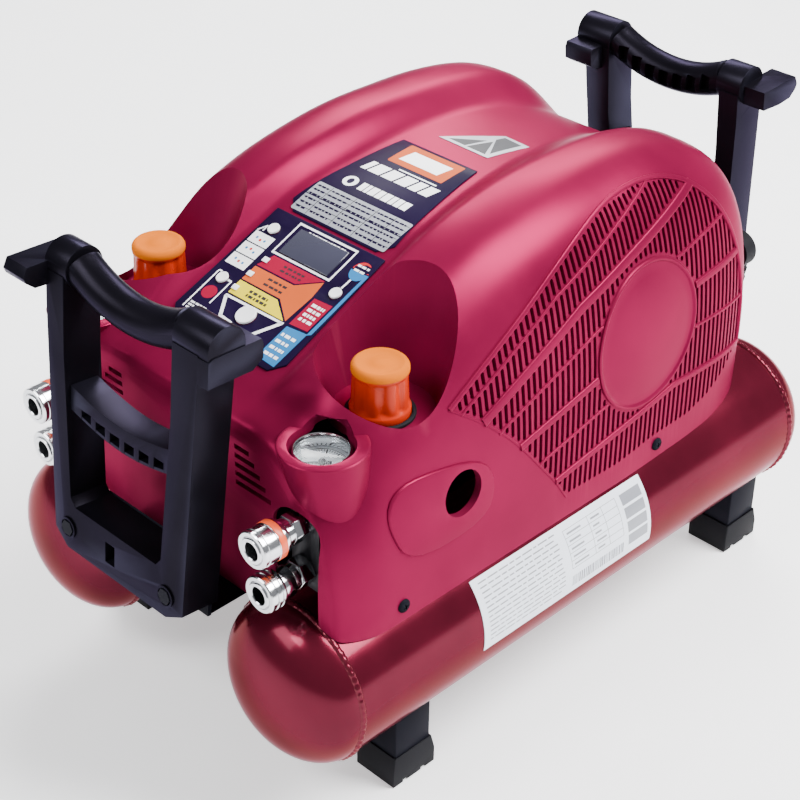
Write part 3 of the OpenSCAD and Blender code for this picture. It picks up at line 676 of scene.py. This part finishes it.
def weld_bead(name, x, y):
    """A rippled ring of weld standing proud of the shell."""
    verts = []
    around, across = 300, 7
    for k in range(around):
        a = 2 * math.pi * k / around
        ripple = 0.28 * math.sin(a * 75) + 0.15 * math.sin(a * 31 + 1.3)
        for j in range(across):
            b = math.pi * j / (across - 1)
            r = TANK_R - 0.4 + (1.75 + ripple) * math.sin(b)
            h = y + (2.6 + 0.5 * ripple) * math.cos(b) + 0.25 * math.sin(a * 5)
            verts.append(((x + r * math.cos(a)) * MM, h * MM, (TANK_Z + r * math.sin(a)) * MM))
    obj = consistent(mesh_from(name, verts, stitched(around, across, True)))
    smooth(obj, 60)
    return obj


def box(name, lo, hi, width=0.6):
    obj = prism(name, rect(lo[0], lo[1], hi[0], hi[1]), lo[2], hi[2])
    if width:
        bevel(obj, width * MM, 2)
    smooth(obj, 40)
    return obj


def build_tank(side, ports):
    x = side * TANK_X
    name = "tank_right" if side > 0 else "tank_left"
    parts = [lathe(name + "_shell", tank_profile(), 144, "Y", (x, 0, TANK_Z))]
    for y in ports:
        boss = [(0, 155), (9, 155), (9, 168.6), (8, 170), (5, 170), (5, 160), (0, 160)]
        parts.append(lathe("boss", boss, 48, "Z", (x, y, 0)))
    for y, _ in SCREWS:
        cx = x + side * 37.4
        parts.append(box("tab", (cx - 1.6, y - 9, 151), (cx + 1.6, y + 9, 170.9), 0.5))
    shell = joined(name + "_shell", parts)
    smooth(shell, 40)
    adopt(shell, "chassis", "plum")
    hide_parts(name)
    for end, y in zip(("front", "rear"), TANK_SEAMS):
        adopt(weld_bead(f"{name}_weld_{end}", x, y), "chassis", "plum")


build_tank(1, [-200])
build_tank(-1, [-200, 60, 110])


# ---------------------------------------------------------------- rating label on the right tank
def wrap(name, y0, y1, a0, a1, r, t=0.25):
    """A patch of vinyl following the tank between two lines and two angles (degrees above level)."""
    ny, na = max(2, int((y1 - y0) / 6)), max(2, int((a1 - a0) / 1.5))
    verts, faces = [], []
    for layer in (r, r + t):
        for i in range(ny + 1):
            for j in range(na + 1):
                a = math.radians(a0 + (a1 - a0) * j / na)
                verts.append(((TANK_X + layer * math.cos(a)) * MM, (y0 + (y1 - y0) * i / ny) * MM,
                              (TANK_Z + layer * math.sin(a)) * MM))
    size = (ny + 1) * (na + 1)
    w = na + 1
    for q in stitched(ny + 1, w, ring=False):
        faces += [q, tuple(size + v for v in q[::-1])]
    rim = list(range(w)) + [i * w + na for i in range(1, ny + 1)]
    rim += [ny * w + j for j in range(na - 1, -1, -1)] + [i * w for i in range(ny - 1, 0, -1)]
    for k, v in enumerate(rim):
        n = rim[(k + 1) % len(rim)]
        faces.append((v, n, size + n, size + v))
    obj = consistent(mesh_from(name, verts, faces))
    smooth(obj, 30)
    return obj


LABEL_R = TANK_R + 0.15
label = wrap("rating_label_vinyl", -127, 55, -8, 43.5, LABEL_R, 0.45)
adopt(label, "chassis", "paper")
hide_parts("rating_label")
rng = np.random.default_rng(7)
prints = []
PRINT_R = LABEL_R + 0.4
a = 40.0
for _ in range(13):
    y = -121.0
    while y < -45:
        length = float(rng.uniform(3, 11))
        prints.append(wrap("ink", y, min(y + length, -42), a - 0.9, a, PRINT_R, 0.1))
        y += length + 1.6
    a -= 3.4
for k in range(6):
    prints.append(wrap("ink", -34, 24, 38 - 5.5 * k, 38.35 - 5.5 * k, PRINT_R, 0.1))
for y in (-34, -8, 8, 23.6):
    prints.append(wrap("ink", y, y + 0.4, 10.5, 38.3, PRINT_R, 0.1))
for k in range(5):
    low, high = 34.5 - 5.5 * k, 35.8 - 5.5 * k
    prints.append(wrap("ink", -31, -31 + float(rng.uniform(10, 20)), low, high, PRINT_R, 0.1))
    prints.append(wrap("ink", -5, -5 + float(rng.uniform(6, 11)), low, high, PRINT_R, 0.1))
y = -34.0
while y < 22:
    bar = float(rng.choice([0.5, 0.8, 1.3]))
    prints.append(wrap("ink", y, y + bar, -3, 5, PRINT_R, 0.1))
    y += bar + float(rng.choice([0.7, 1.1]))
adopt(joined("rating_label_print", prints), "chassis", "grey_print")
prints = [wrap("ink", 29, 51, 30 - 10 * k, 38 - 10 * k, PRINT_R, 0.1) for k in range(4)]
adopt(joined("rating_label_boxes", prints), "chassis", "sticker")

# ---------------------------------------------------------------- parts kept from the CAD, edges rounded
for node in ("leg_front_right", "leg_front_left", "leg_rear_right", "leg_rear_left", "frame"):
    refined(node, "powder", 1.0)
for node in ("foot_front_right", "foot_front_left", "foot_rear_right", "foot_rear_left"):
    refined(node, "rubber", 1.2, 3, 20)


def rung_lip(name, turn):
    """A thin strip that closes the recesses of the handle's rung from below."""
    xs = range(-52, 52, 4)
    low = [(x, 107.6 - 8 * math.cos(math.radians(90 * x / 54))) for x in xs]
    high = [(x, z + 2.2) for x, z in reversed(low)]
    obj = prism(name, low + high, 4.3, 25.6, "XZ")
    lean = Matrix.Rotation(math.radians(-HANDLE_LEAN), 4, "X")
    shift = Matrix.Translation((0, -HANDLE_Y * MM, HANDLE_Z * MM))
    obj.data.transform(Matrix.Rotation(math.radians(turn), 4, "Z") @ shift @ lean)
    smooth(obj, 40)
    adopt(obj, "chassis", "handle")


rung_lip("rung_lip_front", 0)
rung_lip("rung_lip_rear", 180)
for node in ("handle_front", "handle_rear"):
    refined(node, "handle", 1.6, 3, 30)
for node in ("regulator_right", "regulator_left"):
    refined(node, "dark_alloy", 0.8)


# ---------------------------------------------------------------- knobs
def build_knob(side):
    name = "knob_right" if side > 0 else "knob_left"
    z0 = KNOB[2] + 0.6
    prof = [(8.1, 0), (19.9, 0), (20.3, 0.6), (20.3, 5.5), (19.9, 6.4), (19.2, 7.0)]
    prof += [(19.2 - 0.04 * k, 7 + k) for k in range(1, 24)]
    prof += [(18.6, 31), (18.9, 31.6), (18.9, 33.0), (8.1, 33.0)]
    seg = 288
    verts = []
    for k in range(seg):
        a = 2 * math.pi * k / seg
        flute = (0.5 + 0.5 * math.cos(9 * a)) ** 1.6
        for r, h in prof:
            f = 0.0
            if 7.5 < h < 31.4:
                f = min(1.0, (h - 7.5) / 1.5, (31.4 - h) / 2.5) * 1.7 * flute
            rr = r - f
            verts.append(((side * KNOB[0] + rr * math.cos(a)) * MM, (KNOB[1] + rr * math.sin(a)) * MM,
                          (z0 + h) * MM))
    body = consistent(mesh_from(name + "_grip", verts, stitched(seg, len(prof), True)))
    smooth(body, 50)
    adopt(body, name, "amber")
    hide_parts(name)
    crown = [(0, 32.6), (18.9, 32.6), (19.1, 33.2), (19.0, 35.6), (18.3, 37.0), (17.2, 38.0), (16.0, 38.4),
             (14.6, 38.2), (13.2, 37.7), (6.5, 37.5), (5.8, 37.9), (0, 38.0)]
    cap = lathe(name + "_cap", crown, 96, "Z", (side * KNOB[0], KNOB[1], z0))
    adopt(cap, name, "amber_top")


build_knob(1)
build_knob(-1)
refined("knob_seals", "rubber", 0.6)


# ---------------------------------------------------------------- gauges
def build_gauge(side):
    tag = "right" if side > 0 else "left"
    x, y = side * GAUGE[0], GAUGE[1]
    case = lathe(f"gauge_case_{tag}_turned",
                 [(0, 254), (6, 254), (6, 272.6), (18.7, 272.6), (19.2, 273.1), (19.2, 286.4),
                  (18.9, 287.4), (18.4, 288), (17.9, 287.8), (17.5, 286.8), (17.3, 285), (17.3, 275),
                  (0, 275)], 120, "Z", (x, y, 0))
    adopt(case, "chassis", "chrome")
    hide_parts(f"gauge_case_{tag}")
    dial = lathe(f"gauge_dial_{tag}", [(0, 275.1), (17.1, 275.1), (17.1, 275.9), (16.8, 276), (0, 276)], 96,
                 "Z", (x, y, 0))
    adopt(dial, "chassis", "dial")
    ticks, reds = [], []
    for k in range(41):
        a = math.radians(225 - 270 * k / 40)
        long = k % 5 == 0
        r0, r1, w = (11.4 if long else 13.2), 15.2, (0.42 if long else 0.2)
        c, s = math.cos(a), math.sin(a)
        quad = [(x + r0 * c - w * s, y + r0 * s + w * c), (x + r1 * c - w * s, y + r1 * s + w * c),
                (x + r1 * c + w * s, y + r1 * s - w * c), (x + r0 * c + w * s, y + r0 * s - w * c)]
        (reds if k > 32 else ticks).append(prism("tick", quad, 275.95, 276.12))
    sweep = arc(x, y, 16.2, 16.2, range(225, -46, -6)) + arc(x, y, 15.8, 15.8, range(-45, 226, 6))
    ticks.append(prism("arc", sweep, 275.95, 276.1))
    adopt(joined(f"gauge_scale_{tag}", ticks), "chassis", "ink")
    adopt(joined(f"gauge_limit_{tag}", reds), "chassis", "red")
    lens = lathe(f"gauge_lens_{tag}", [(0, 284.0), (17.25, 283.4), (17.25, 284.6), (12, 285.4), (0, 285.8)],
                 96, "Z", (x, y, 0))
    adopt(lens, "chassis", "clear")
    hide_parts("gauge_glasses")
    # needle lying at zero, turning clockwise
    a = math.radians(225)
    c, s = math.cos(a), math.sin(a)

    def at(r, w):
        return (x + r * c - w * s, y + r * s + w * c)

    blade = prism(f"needle_{tag}_blade",
                  [at(-6, 0.9), at(-4, 1.2), at(0, 0.9), at(14.2, 0.25), at(14.4, 0), at(14.2, -0.25),
                   at(0, -0.9), at(-4, -1.2), at(-6, -0.9)], 277.1, 277.7)
    hub = lathe("hub", [(0, 277), (2.4, 277), (2.4, 278.6), (1.9, 279), (0, 279)], 40, "Z", (x, y, 0))
    needle = joined(f"needle_{tag}_shaped", [blade, hub])
    smooth(needle, 40)
    adopt(needle, f"gauge_needle_{tag}", "ink")
    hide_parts(f"gauge_needle_{tag}")


build_gauge(1)
build_gauge(-1)


# ---------------------------------------------------------------- couplers
def build_coupler(side, level):
    tag = f"{'right' if side > 0 else 'left'}_{level}"
    z, out = (235, 5) if level == "hi" else (197, 0.5)
    x, y0 = side * TANK_X, -236 - out

    def prof(pairs):
        return [(r, -h) for r, h in pairs]

    body = lathe(f"coupler_body_{tag}_turned",
                 prof([(8, -out), (8, 0), (9, 0), (9, 11), (9.4, 11.4), (9.4, 40.4), (8.9, 41), (6.8, 41),
                       (6.2, 40.4), (6.2, 18), (4, 18), (4, -out)]),
                 72, "Y", (x, y0, z), closed=True)
    nut = prism("nut", arc(x, z, 11, 11, range(0, 360, 60)), y0 - 10.6, y0 - 0.4, "XZ")
    bevel(nut, 0.7 * MM, 2)
    body = joined(f"coupler_body_{tag}_turned", [body, nut])
    smooth(body, 40)
    adopt(body, "chassis", "chrome")
    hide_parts(f"coupler_body_{tag}")
    if level == "hi":
        pts = [(9.5, 17), (11.9, 17), (12.3, 17.5), (12.3, 20.4), (13.4, 20.9), (13.4, 26.9), (12.9, 27.3),
               (13.5, 27.8), (13.5, 35.6), (12.9, 36), (12.9, 36.9), (13.3, 37.3), (13.3, 39.2),
               (12.6, 40), (10.2, 40), (9.5, 39.4)]
    else:
        pts = [(9.5, 17), (11.2, 17), (11.7, 17.6), (11.7, 26), (13.2, 27), (13.5, 27.4), (13.5, 30),
               (12.6, 30.4), (12.6, 31.3), (13.5, 31.7), (13.5, 34.2), (12.6, 34.6), (12.6, 35.5),
               (13.4, 35.9), (13.4, 39.2), (12.6, 40), (10.2, 40), (9.5, 39.4)]
    sleeve = lathe(f"coupler_sleeve_{tag}_turned", prof(pts), 96, "Y", (x, y0, z), closed=True)
    adopt(sleeve, f"coupler_sleeve_{tag}", "chrome")
    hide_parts(f"coupler_sleeve_{tag}")
    if level == "hi":
        ring = [(13.2, 21.3), (13.55, 21.3), (13.7, 21.6), (13.7, 26.2), (13.55, 26.5), (13.2, 26.5)]
        band = lathe(f"coupler_band_{tag}", prof(ring), 96, "Y", (x, y0, z), closed=True)
        adopt(band, f"coupler_sleeve_{tag}", "band")


for side in (1, -1):
    for level in ("hi", "lo"):
        build_coupler(side, level)

# ---------------------------------------------------------------- panel, buttons, prints on the channel
SLOPE = math.atan(PANEL_RISE)


def on_panel(x, y, h=0.0):
    """Point on the panel plane: x across, y along (level distance), h off the plane."""
    z = PANEL_Z + PANEL_RISE * (y - PANEL_Y)
    return (x * MM, (y - h * math.sin(SLOPE)) * MM, (z + h * math.cos(SLOPE)) * MM)


CHANNEL = np.array([row(u)[:2] for u in np.linspace(2, 12, 400)])  # y and height of the cover's channel


def skin_piece(name, outline, low, high, cell=4.0):
    """A thin plate over the channel: outline in (x, y), thickness from low to high off the surface."""
    obj = prism(name, outline, 0, 1)
    ys = [p[1] for p in outline]
    y = min(ys) + cell
    with editing(obj) as bm:
        while y < max(ys) - 0.5:
            geom = bm.verts[:] + bm.edges[:] + bm.faces[:]
            bmesh.ops.bisect_plane(bm, geom=geom, plane_co=(0, y * MM, 0), plane_no=(0, 1, 0), dist=1e-7)
            y += cell
        for v in bm.verts:
            base = float(np.interp(v.co.y / MM, CHANNEL[:, 0], CHANNEL[:, 1]))
            v.co.z = (base + (high if v.co.z > 0.5 * MM else low)) * MM
    smooth(obj, 30)
    return obj


BUTTONS = {"pressure": (0, -181, 7.5, 2.2), "power": (-41, -166, 4.5, 2), "mode": (43, -139.5, 4.5, 2),
           "info": (-40, -119, 4.5, 2)}
refined("control_panel", "panel", 0.4)
refined("top_label", "panel", 0.25)


def dish(name, x, y, r, h):
    """A button with a shallow dish in its top, square to the panel."""
    prof = [(0, 0.2), (r - 0.3, 0.2), (r, 0.5), (r, h - 0.35), (r - 0.35, h), (r - 0.9, h),
            (r * 0.5, h - 0.25), (0, h - 0.35)]
    obj = lathe(name, prof, 64)
    tilt = Matrix.Translation(Vector(on_panel(x, y, 1.1))) @ Matrix.Rotation(SLOPE, 4, "X")
    obj.data.transform(tilt)
    return obj


for key, (x, y, r, h) in BUTTONS.items():
    top = dish(f"button_{key}_cap", x, y, r, h)
    stem = lathe("stem", [(0, -9), (2.4, -9), (2.4, 1.6), (0, 1.6)], 32)
    stem.data.transform(Matrix.Translation(Vector(on_panel(x, y, 0))) @ Matrix.Rotation(SLOPE, 4, "X"))
    obj = joined(f"button_{key}_cap", [top, stem])
    smooth(obj, 40)
    adopt(obj, f"button_{key}", "white")
    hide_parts(f"button_{key}")
refined("lcd_window", "lcd", 0.4)

TOP = 1.35


def rounded(x0, y0, x1, y1, r, n=5):
    pts = []
    for cx, cy, a0 in ((x1 - r, y1 - r, 0), (x0 + r, y1 - r, 90), (x0 + r, y0 + r, 180),
                       (x1 - r, y0 + r, 270)):
        pts += arc(cx, cy, r, r, [a0 + 90 * k / n for k in range(n + 1)])
    return pts


def inked(name, shapes, ink, low=TOP, high=TOP + 0.12):
    objs = [skin_piece("ink", s, low, high, 6.0) for s in shapes]
    adopt(joined(name, objs), "chassis", ink)


def path_band(points, width):
    """A line of ink of one width along a path of points."""
    out = []
    for (xa, ya), (xb, yb) in zip(points, points[1:]):
        d = math.hypot(xb - xa, yb - ya)
        nx, ny = -(yb - ya) / d * width / 2, (xb - xa) / d * width / 2
        out.append([(xa - nx, ya - ny), (xb - nx, yb - ny), (xb + nx, yb + ny), (xa + nx, ya + ny)])
    return out


def dashes(x0, y0, x1, y1, rows, seed, tall=1.2):
    """Broken lines of ink standing for small print."""
    rand = np.random.default_rng(seed)
    out = []
    for k in range(rows):
        y = y0 + (y1 - y0) * (k + 0.5) / rows
        x = x0
        while x < x1 - 1:
            w = float(rand.uniform(1.2, 4.5))
            out.append(rect(x, y - tall / 2, min(x + w, x1), y + tall / 2))
            x += w + float(rand.uniform(0.7, 1.5))
    return out


inked("panel_lcd_border", path_band([(-26.6, -134), (30.7, -134)], 1.5)
      + path_band([(-26.6, -107.4), (30.7, -107.4)], 1.5)
      + path_band([(-25.9, -134), (-25.9, -107.4)], 1.4) + path_band([(30.1, -134), (30.1, -107.4)], 1.4),
      "white")
inked("panel_cards", [rect(-51.4, y0, -32.2, y0 + 9.3) for y0 in (-155.4, -145.1, -134.8)], "white")
MARKS = ((-46, -150), (-38, -151), (-46, -140), (-38, -141), (-46, -130), (-38, -130.5))
DOTS = ((-42, -151), (-42, -139.5), (-42, -131))
inked("panel_card_marks", [ellipse(x, y, 1.0, 1.0, 16) for x, y in MARKS], "blue", TOP + 0.1, TOP + 0.2)
inked("panel_card_dots", [ellipse(x, y, 1.1, 1.1, 16) for x, y in DOTS], "red", TOP + 0.1, TOP + 0.2)
inked("panel_bar_crimson", [[(-27.5, -147.2), (10.6, -147), (28.6, -136), (-22, -136)]], "magenta")
inked("panel_bar_orange", [[(-28, -160.6), (10.6, -160.6), (28.2, -172.2), (30.2, -150), (28.6, -137),
                            (10.8, -148.2), (-27.5, -148.4)]],
      "orange", TOP, TOP + 0.11)
inked("panel_bar_yellow", [[(-28, -173), (26.8, -172.8), (9.6, -162), (-28, -161.8)]], "yellow")
inked("panel_funnel", path_band([(-28, -175.4), (28.6, -174.4)], 1.7)
      + path_band([(27.6, -174.4), (13.6, -193)], 2.6)
      + path_band([(14.6, -192.6), (-18, -189.6)], 2.2)
      + path_band([(-17.4, -189.6), (-27.2, -175.4)], 2.6), "white")
inked("panel_bar_print", dashes(-14, -171, 6, -164, 2, 3, 2.0) + dashes(-10, -159, 8, -150, 2, 4, 1.6)
      + dashes(-8, -145, 12, -138, 2, 5, 1.4), "ink", TOP + 0.1, TOP + 0.2)
inked("panel_left_box", path_band([(-49, -196), (-49, -162.5), (-46, -162.5)], 1.2)
      + path_band([(-36, -166), (-32.6, -166), (-32.6, -186)], 1.2)
      + path_band([(-46.8, -124), (-46.8, -119), (-51.4, -125)], 1.0), "white")
inked("panel_red_marks", [ellipse(-40.5, -179.3, 6.2, 5.2, 32)], "magenta", TOP + 0.02, TOP + 0.18)
inked("panel_left_print", dashes(-46.5, -196.5, -30, -189.5, 3, 6, 1.3), "white")
inked("panel_right_red", [arc(44.4, -118.6, 7.4, 7.2, range(0, 181, 12))], "red")
inked("panel_right_blue", [arc(44.4, -119.6, 7.4, 7.2, range(180, 361, 12)),
                           [(50.6, -119), (53.0, -119), (53.2, -172), (50.2, -174)],
                           [(31.8, -201), (49.6, -202.2), (50.4, -173), (32.4, -174.6)]],
      "blue", TOP, TOP + 0.11)
inked("panel_right_box", [[(32.2, -172.4), (48.6, -171.4), (48.8, -148.6), (32.4, -149.4)]], "magenta",
      TOP, TOP + 0.10)
inked("panel_right_print", dashes(35, -168, 46.5, -152, 4, 8, 2.2) + dashes(34, -199, 47, -178, 4, 9, 2.2)
      + path_band([(43, -135), (43.6, -127)], 1.4) + dashes(39, -121, 49.5, -113.5, 2, 10, 1.6),
      "white", TOP + 0.1, TOP + 0.22)
inked("lcd_screen", [rect(-18.6, -131.4, 24.4, -113.6)], "screen", TOP + 0.3, TOP + 0.42)
inked("lcd_marks", dashes(-14, -112.6, 22, -109.8, 1, 12, 1.9), "white", TOP + 0.3, TOP + 0.42)
for k, (x, y) in enumerate(((-24.2, -141.0), (-25.2, -154.5), (-25.8, -167.6))):
    led = box("led", (-2.6, -2.1, 0.1), (2.6, 2.1, 1.0), 0.35)
    led.data.transform(Matrix.Translation(Vector(on_panel(x, y, TOP))) @ Matrix.Rotation(SLOPE, 4, "X"))
    led.name = f"panel_led_{k}"
    adopt(led, "chassis", "white")

# top label: badge, table and lines, all blank of words
LOW = 0.75
inked("label_badge", [rounded(-25, -24.6, 27.5, 0.5, 1.2)], "orange", LOW, LOW + 0.15)
inked("label_badge_bar", [[(-19, -19), (18, -19), (21, -5.5), (-16, -5.5)]], "white", LOW + 0.1, LOW + 0.25)
inked("label_name_bars", [[(x, -42.5), (x + w, -42.5), (x + w + 3, -31.5), (x + 3, -31.5)]
                          for x, w in ((-34, 5), (-27, 11), (-14, 11), (-1, 11), (12, 8), (22, 9))],
      "white", LOW, LOW + 0.14)
WORDS = ((-17, 5), (-11, 3), (-7, 6), (0, 5), (6, 6), (13, 4), (18, 5), (24, 6))
inked("label_sub_bars", [rect(-9, -29.4, 27, -28.2)] + [rect(x, -63, x + w, -54.6) for x, w in WORDS],
      "white", LOW, LOW + 0.14)
inked("label_roundel", [ellipse(-27, -58.6, 6.2, 5.6, 40)], "white", LOW, LOW + 0.14)
inked("label_roundel_eye", [ellipse(-27, -58.6, 2.6, 3.2, 32)], "panel", LOW + 0.1, LOW + 0.22)
inked("label_table", [rounded(-45.4, -99.4, 46.5, -70.6, 1.5)], "sticker", LOW, LOW + 0.12)
lines = [rect(-45, -95.4 + 4.2 * k, 46, -95.0 + 4.2 * k) for k in range(6)]
lines += [rect(x, -99, x + 0.5, -71) for x in (-31, -8, 14, 31)]
inked("label_table_lines", lines, "ink", LOW + 0.1, LOW + 0.2)
inked("label_table_print", dashes(-43, -98, -33, -72, 6, 21, 1.6) + dashes(-29, -98, -10, -72, 6, 22, 1.4)
      + dashes(-6, -98, 12, -72, 6, 23, 1.4) + dashes(16, -98, 44, -72, 6, 24, 1.4), "panel", LOW + 0.12,
      LOW + 0.24)


# ---------------------------------------------------------------- medallions, sticker and screws of the cover
def medallion(side):
    """A blank domed disc with a ring round it, lying on the side of the cover."""
    by, bz, bw, bh = BADGE
    rings = [(1.0, -1.5), (1.0, 1.1), (0.988, 1.7), (0.968, 1.8), (0.952, 1.3), (0.94, 0.5), (0.92, 0.35),
             (0.8, 0.9), (0.6, 1.7), (0.4, 2.3), (0.2, 2.6), (0.1, 2.7)]
    obj = raised(f"medallion_{'right' if side > 0 else 'left'}", ellipse(by, bz, bw, bh, 128), (by, bz),
                 rings)
    if side < 0:
        flip_side(obj)
    smooth(obj, 45)
    adopt(obj, "chassis", "crimson")


medallion(1)
medallion(-1)
inked("top_sticker", [[(-21, 24), (27, 23), (35, 59), (11, 60)]], "sticker", 0.05, 0.35)
inked("top_sticker_facets", [[(-14, 27), (2, 26.5), (8, 44)], [(4, 26.4), (22, 26), (12, 46)],
                             [(11, 50), (24, 29), (30, 56), (13, 57.4)]],
      "ink", 0.3, 0.42)


def screw(side, y, x):
    head = lathe("screw", [(0, 0), (5, 0), (5, 0.7), (4.6, 1.5), (3.4, 2.2), (1.6, 2.5), (0, 2.5)], 40, "X",
                 (x, y, SCREW_Z))
    shaft = lathe("shaft", [(0, -10), (2, -10), (2, 0.2), (0, 0.2)], 24, "X", (x, y, SCREW_Z))
    for turn in (20, 110):
        a = math.radians(turn)
        c, s = math.cos(a), math.sin(a)
        quad = [(y + p * c - q * s, SCREW_Z + p * s + q * c) for p, q in rect(-2.4, -0.55, 2.4, 0.55)]
        boolean(head, prism("cross", quad, x + 1.2, x + 5, "YZ"))
    obj = joined("screw", [head, shaft])
    if side < 0:
        flip_side(obj)
    return obj


screws = joined("cover_screws_turned", [screw(s, y, x) for s in (1, -1) for y, x in SCREWS])
smooth(screws, 40)
adopt(screws, "chassis", "powder")
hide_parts("cover_screws")

# ---------------------------------------------------------------- everything still shown from the part
INSIDE = {"motor_stator": "alloy", "control_board": "board", "handle_bolts": "powder",
          "air_pipes": "copper"}
for name, obj in NODES.items():
    if obj.hide_render:
        continue
    look = INSIDE.get(name) or FINISH[SLOT[name]]
    obj.data.materials.clear()
    obj.data.materials.append(MAT[look])


# ---------------------------------------------------------------- stage, light, camera
def stage():
    n = 24
    verts = []
    for i in range(n + 1):
        for j in range(n + 1):
            verts.append(((i / n - 0.5) * 12, (j / n - 0.5) * 12, -0.0002))
    floor = mesh_from("floor", verts, stitched(n + 1, n + 1, ring=False))
    floor.data.materials.append(material("pale_floor", (0.93, 0.93, 0.94), 0.75, vary=0.01, grain=60,
                                         bump=0.02, Specular_IOR_Level=0.1,
                                         Emission_Color=(1.0, 1.0, 1.0, 1.0), Emission_Strength=0.60))


stage()


def lamp(name, where, target, size, power):
    data = bpy.data.lights.new(name, "AREA")
    data.shape = "RECTANGLE"
    data.size, data.size_y = size
    data.energy = power
    obj = bpy.data.objects.new(name, data)
    obj.location = where
    obj.rotation_euler = (Vector(target) - Vector(where)).to_track_quat("-Z", "Y").to_euler()
    bpy.context.scene.collection.objects.link(obj)


lamp("shoulder_box", (1.0, 0.75, 1.9), (0, 0, 0.25), (1.0, 1.5), 150)
lamp("ridge_box", (-1.3, 1.5, 1.7), (0, 0, 0.25), (1.3, 0.7), 78)
lamp("front_box", (-0.9, -1.9, 1.7), (0, 0, 0.2), (1.4, 0.9), 34)
lamp("bowl_box", (-0.25, -1.9, 2.3), (0.1, -0.15, 0.3), (0.7, 0.7), 34)
world = bpy.data.worlds.new("studio")
world.use_nodes = True
backdrop = world.node_tree.nodes["Background"]
socket(backdrop, "Color", (0.95, 0.96, 1.0, 1))
socket(backdrop, "Strength", 0.36)
bpy.context.scene.world = world

# camera solved from the photo: pixels, radians and metres
IMAGE, FOCAL, CENTRE = 800, 1875.9, (367.1, 403.2)
YAW, PITCH, ROLL = 0.794, -0.582, 0.002
EYE = (0.823, -0.8776, 0.9533)
SENSOR = 36
cam = bpy.data.cameras.new("camera")
cam.lens = FOCAL / IMAGE * SENSOR
cam.sensor_width = SENSOR
cam.clip_end = 50
cam.shift_x = (IMAGE / 2 - CENTRE[0]) / IMAGE
cam.shift_y = (CENTRE[1] - IMAGE / 2) / IMAGE
view = bpy.data.objects.new("camera", cam)
forward = Vector((-math.sin(YAW) * math.cos(PITCH), math.cos(YAW) * math.cos(PITCH), math.sin(PITCH)))
right = Vector((math.cos(YAW), math.sin(YAW), 0))
up = right.cross(forward)
turn = Matrix((right, up, -forward)).transposed().to_4x4()
view.matrix_world = Matrix.Translation(EYE) @ turn @ Matrix.Rotation(ROLL, 4, "Z")
bpy.context.scene.collection.objects.link(view)
bpy.context.scene.camera = view
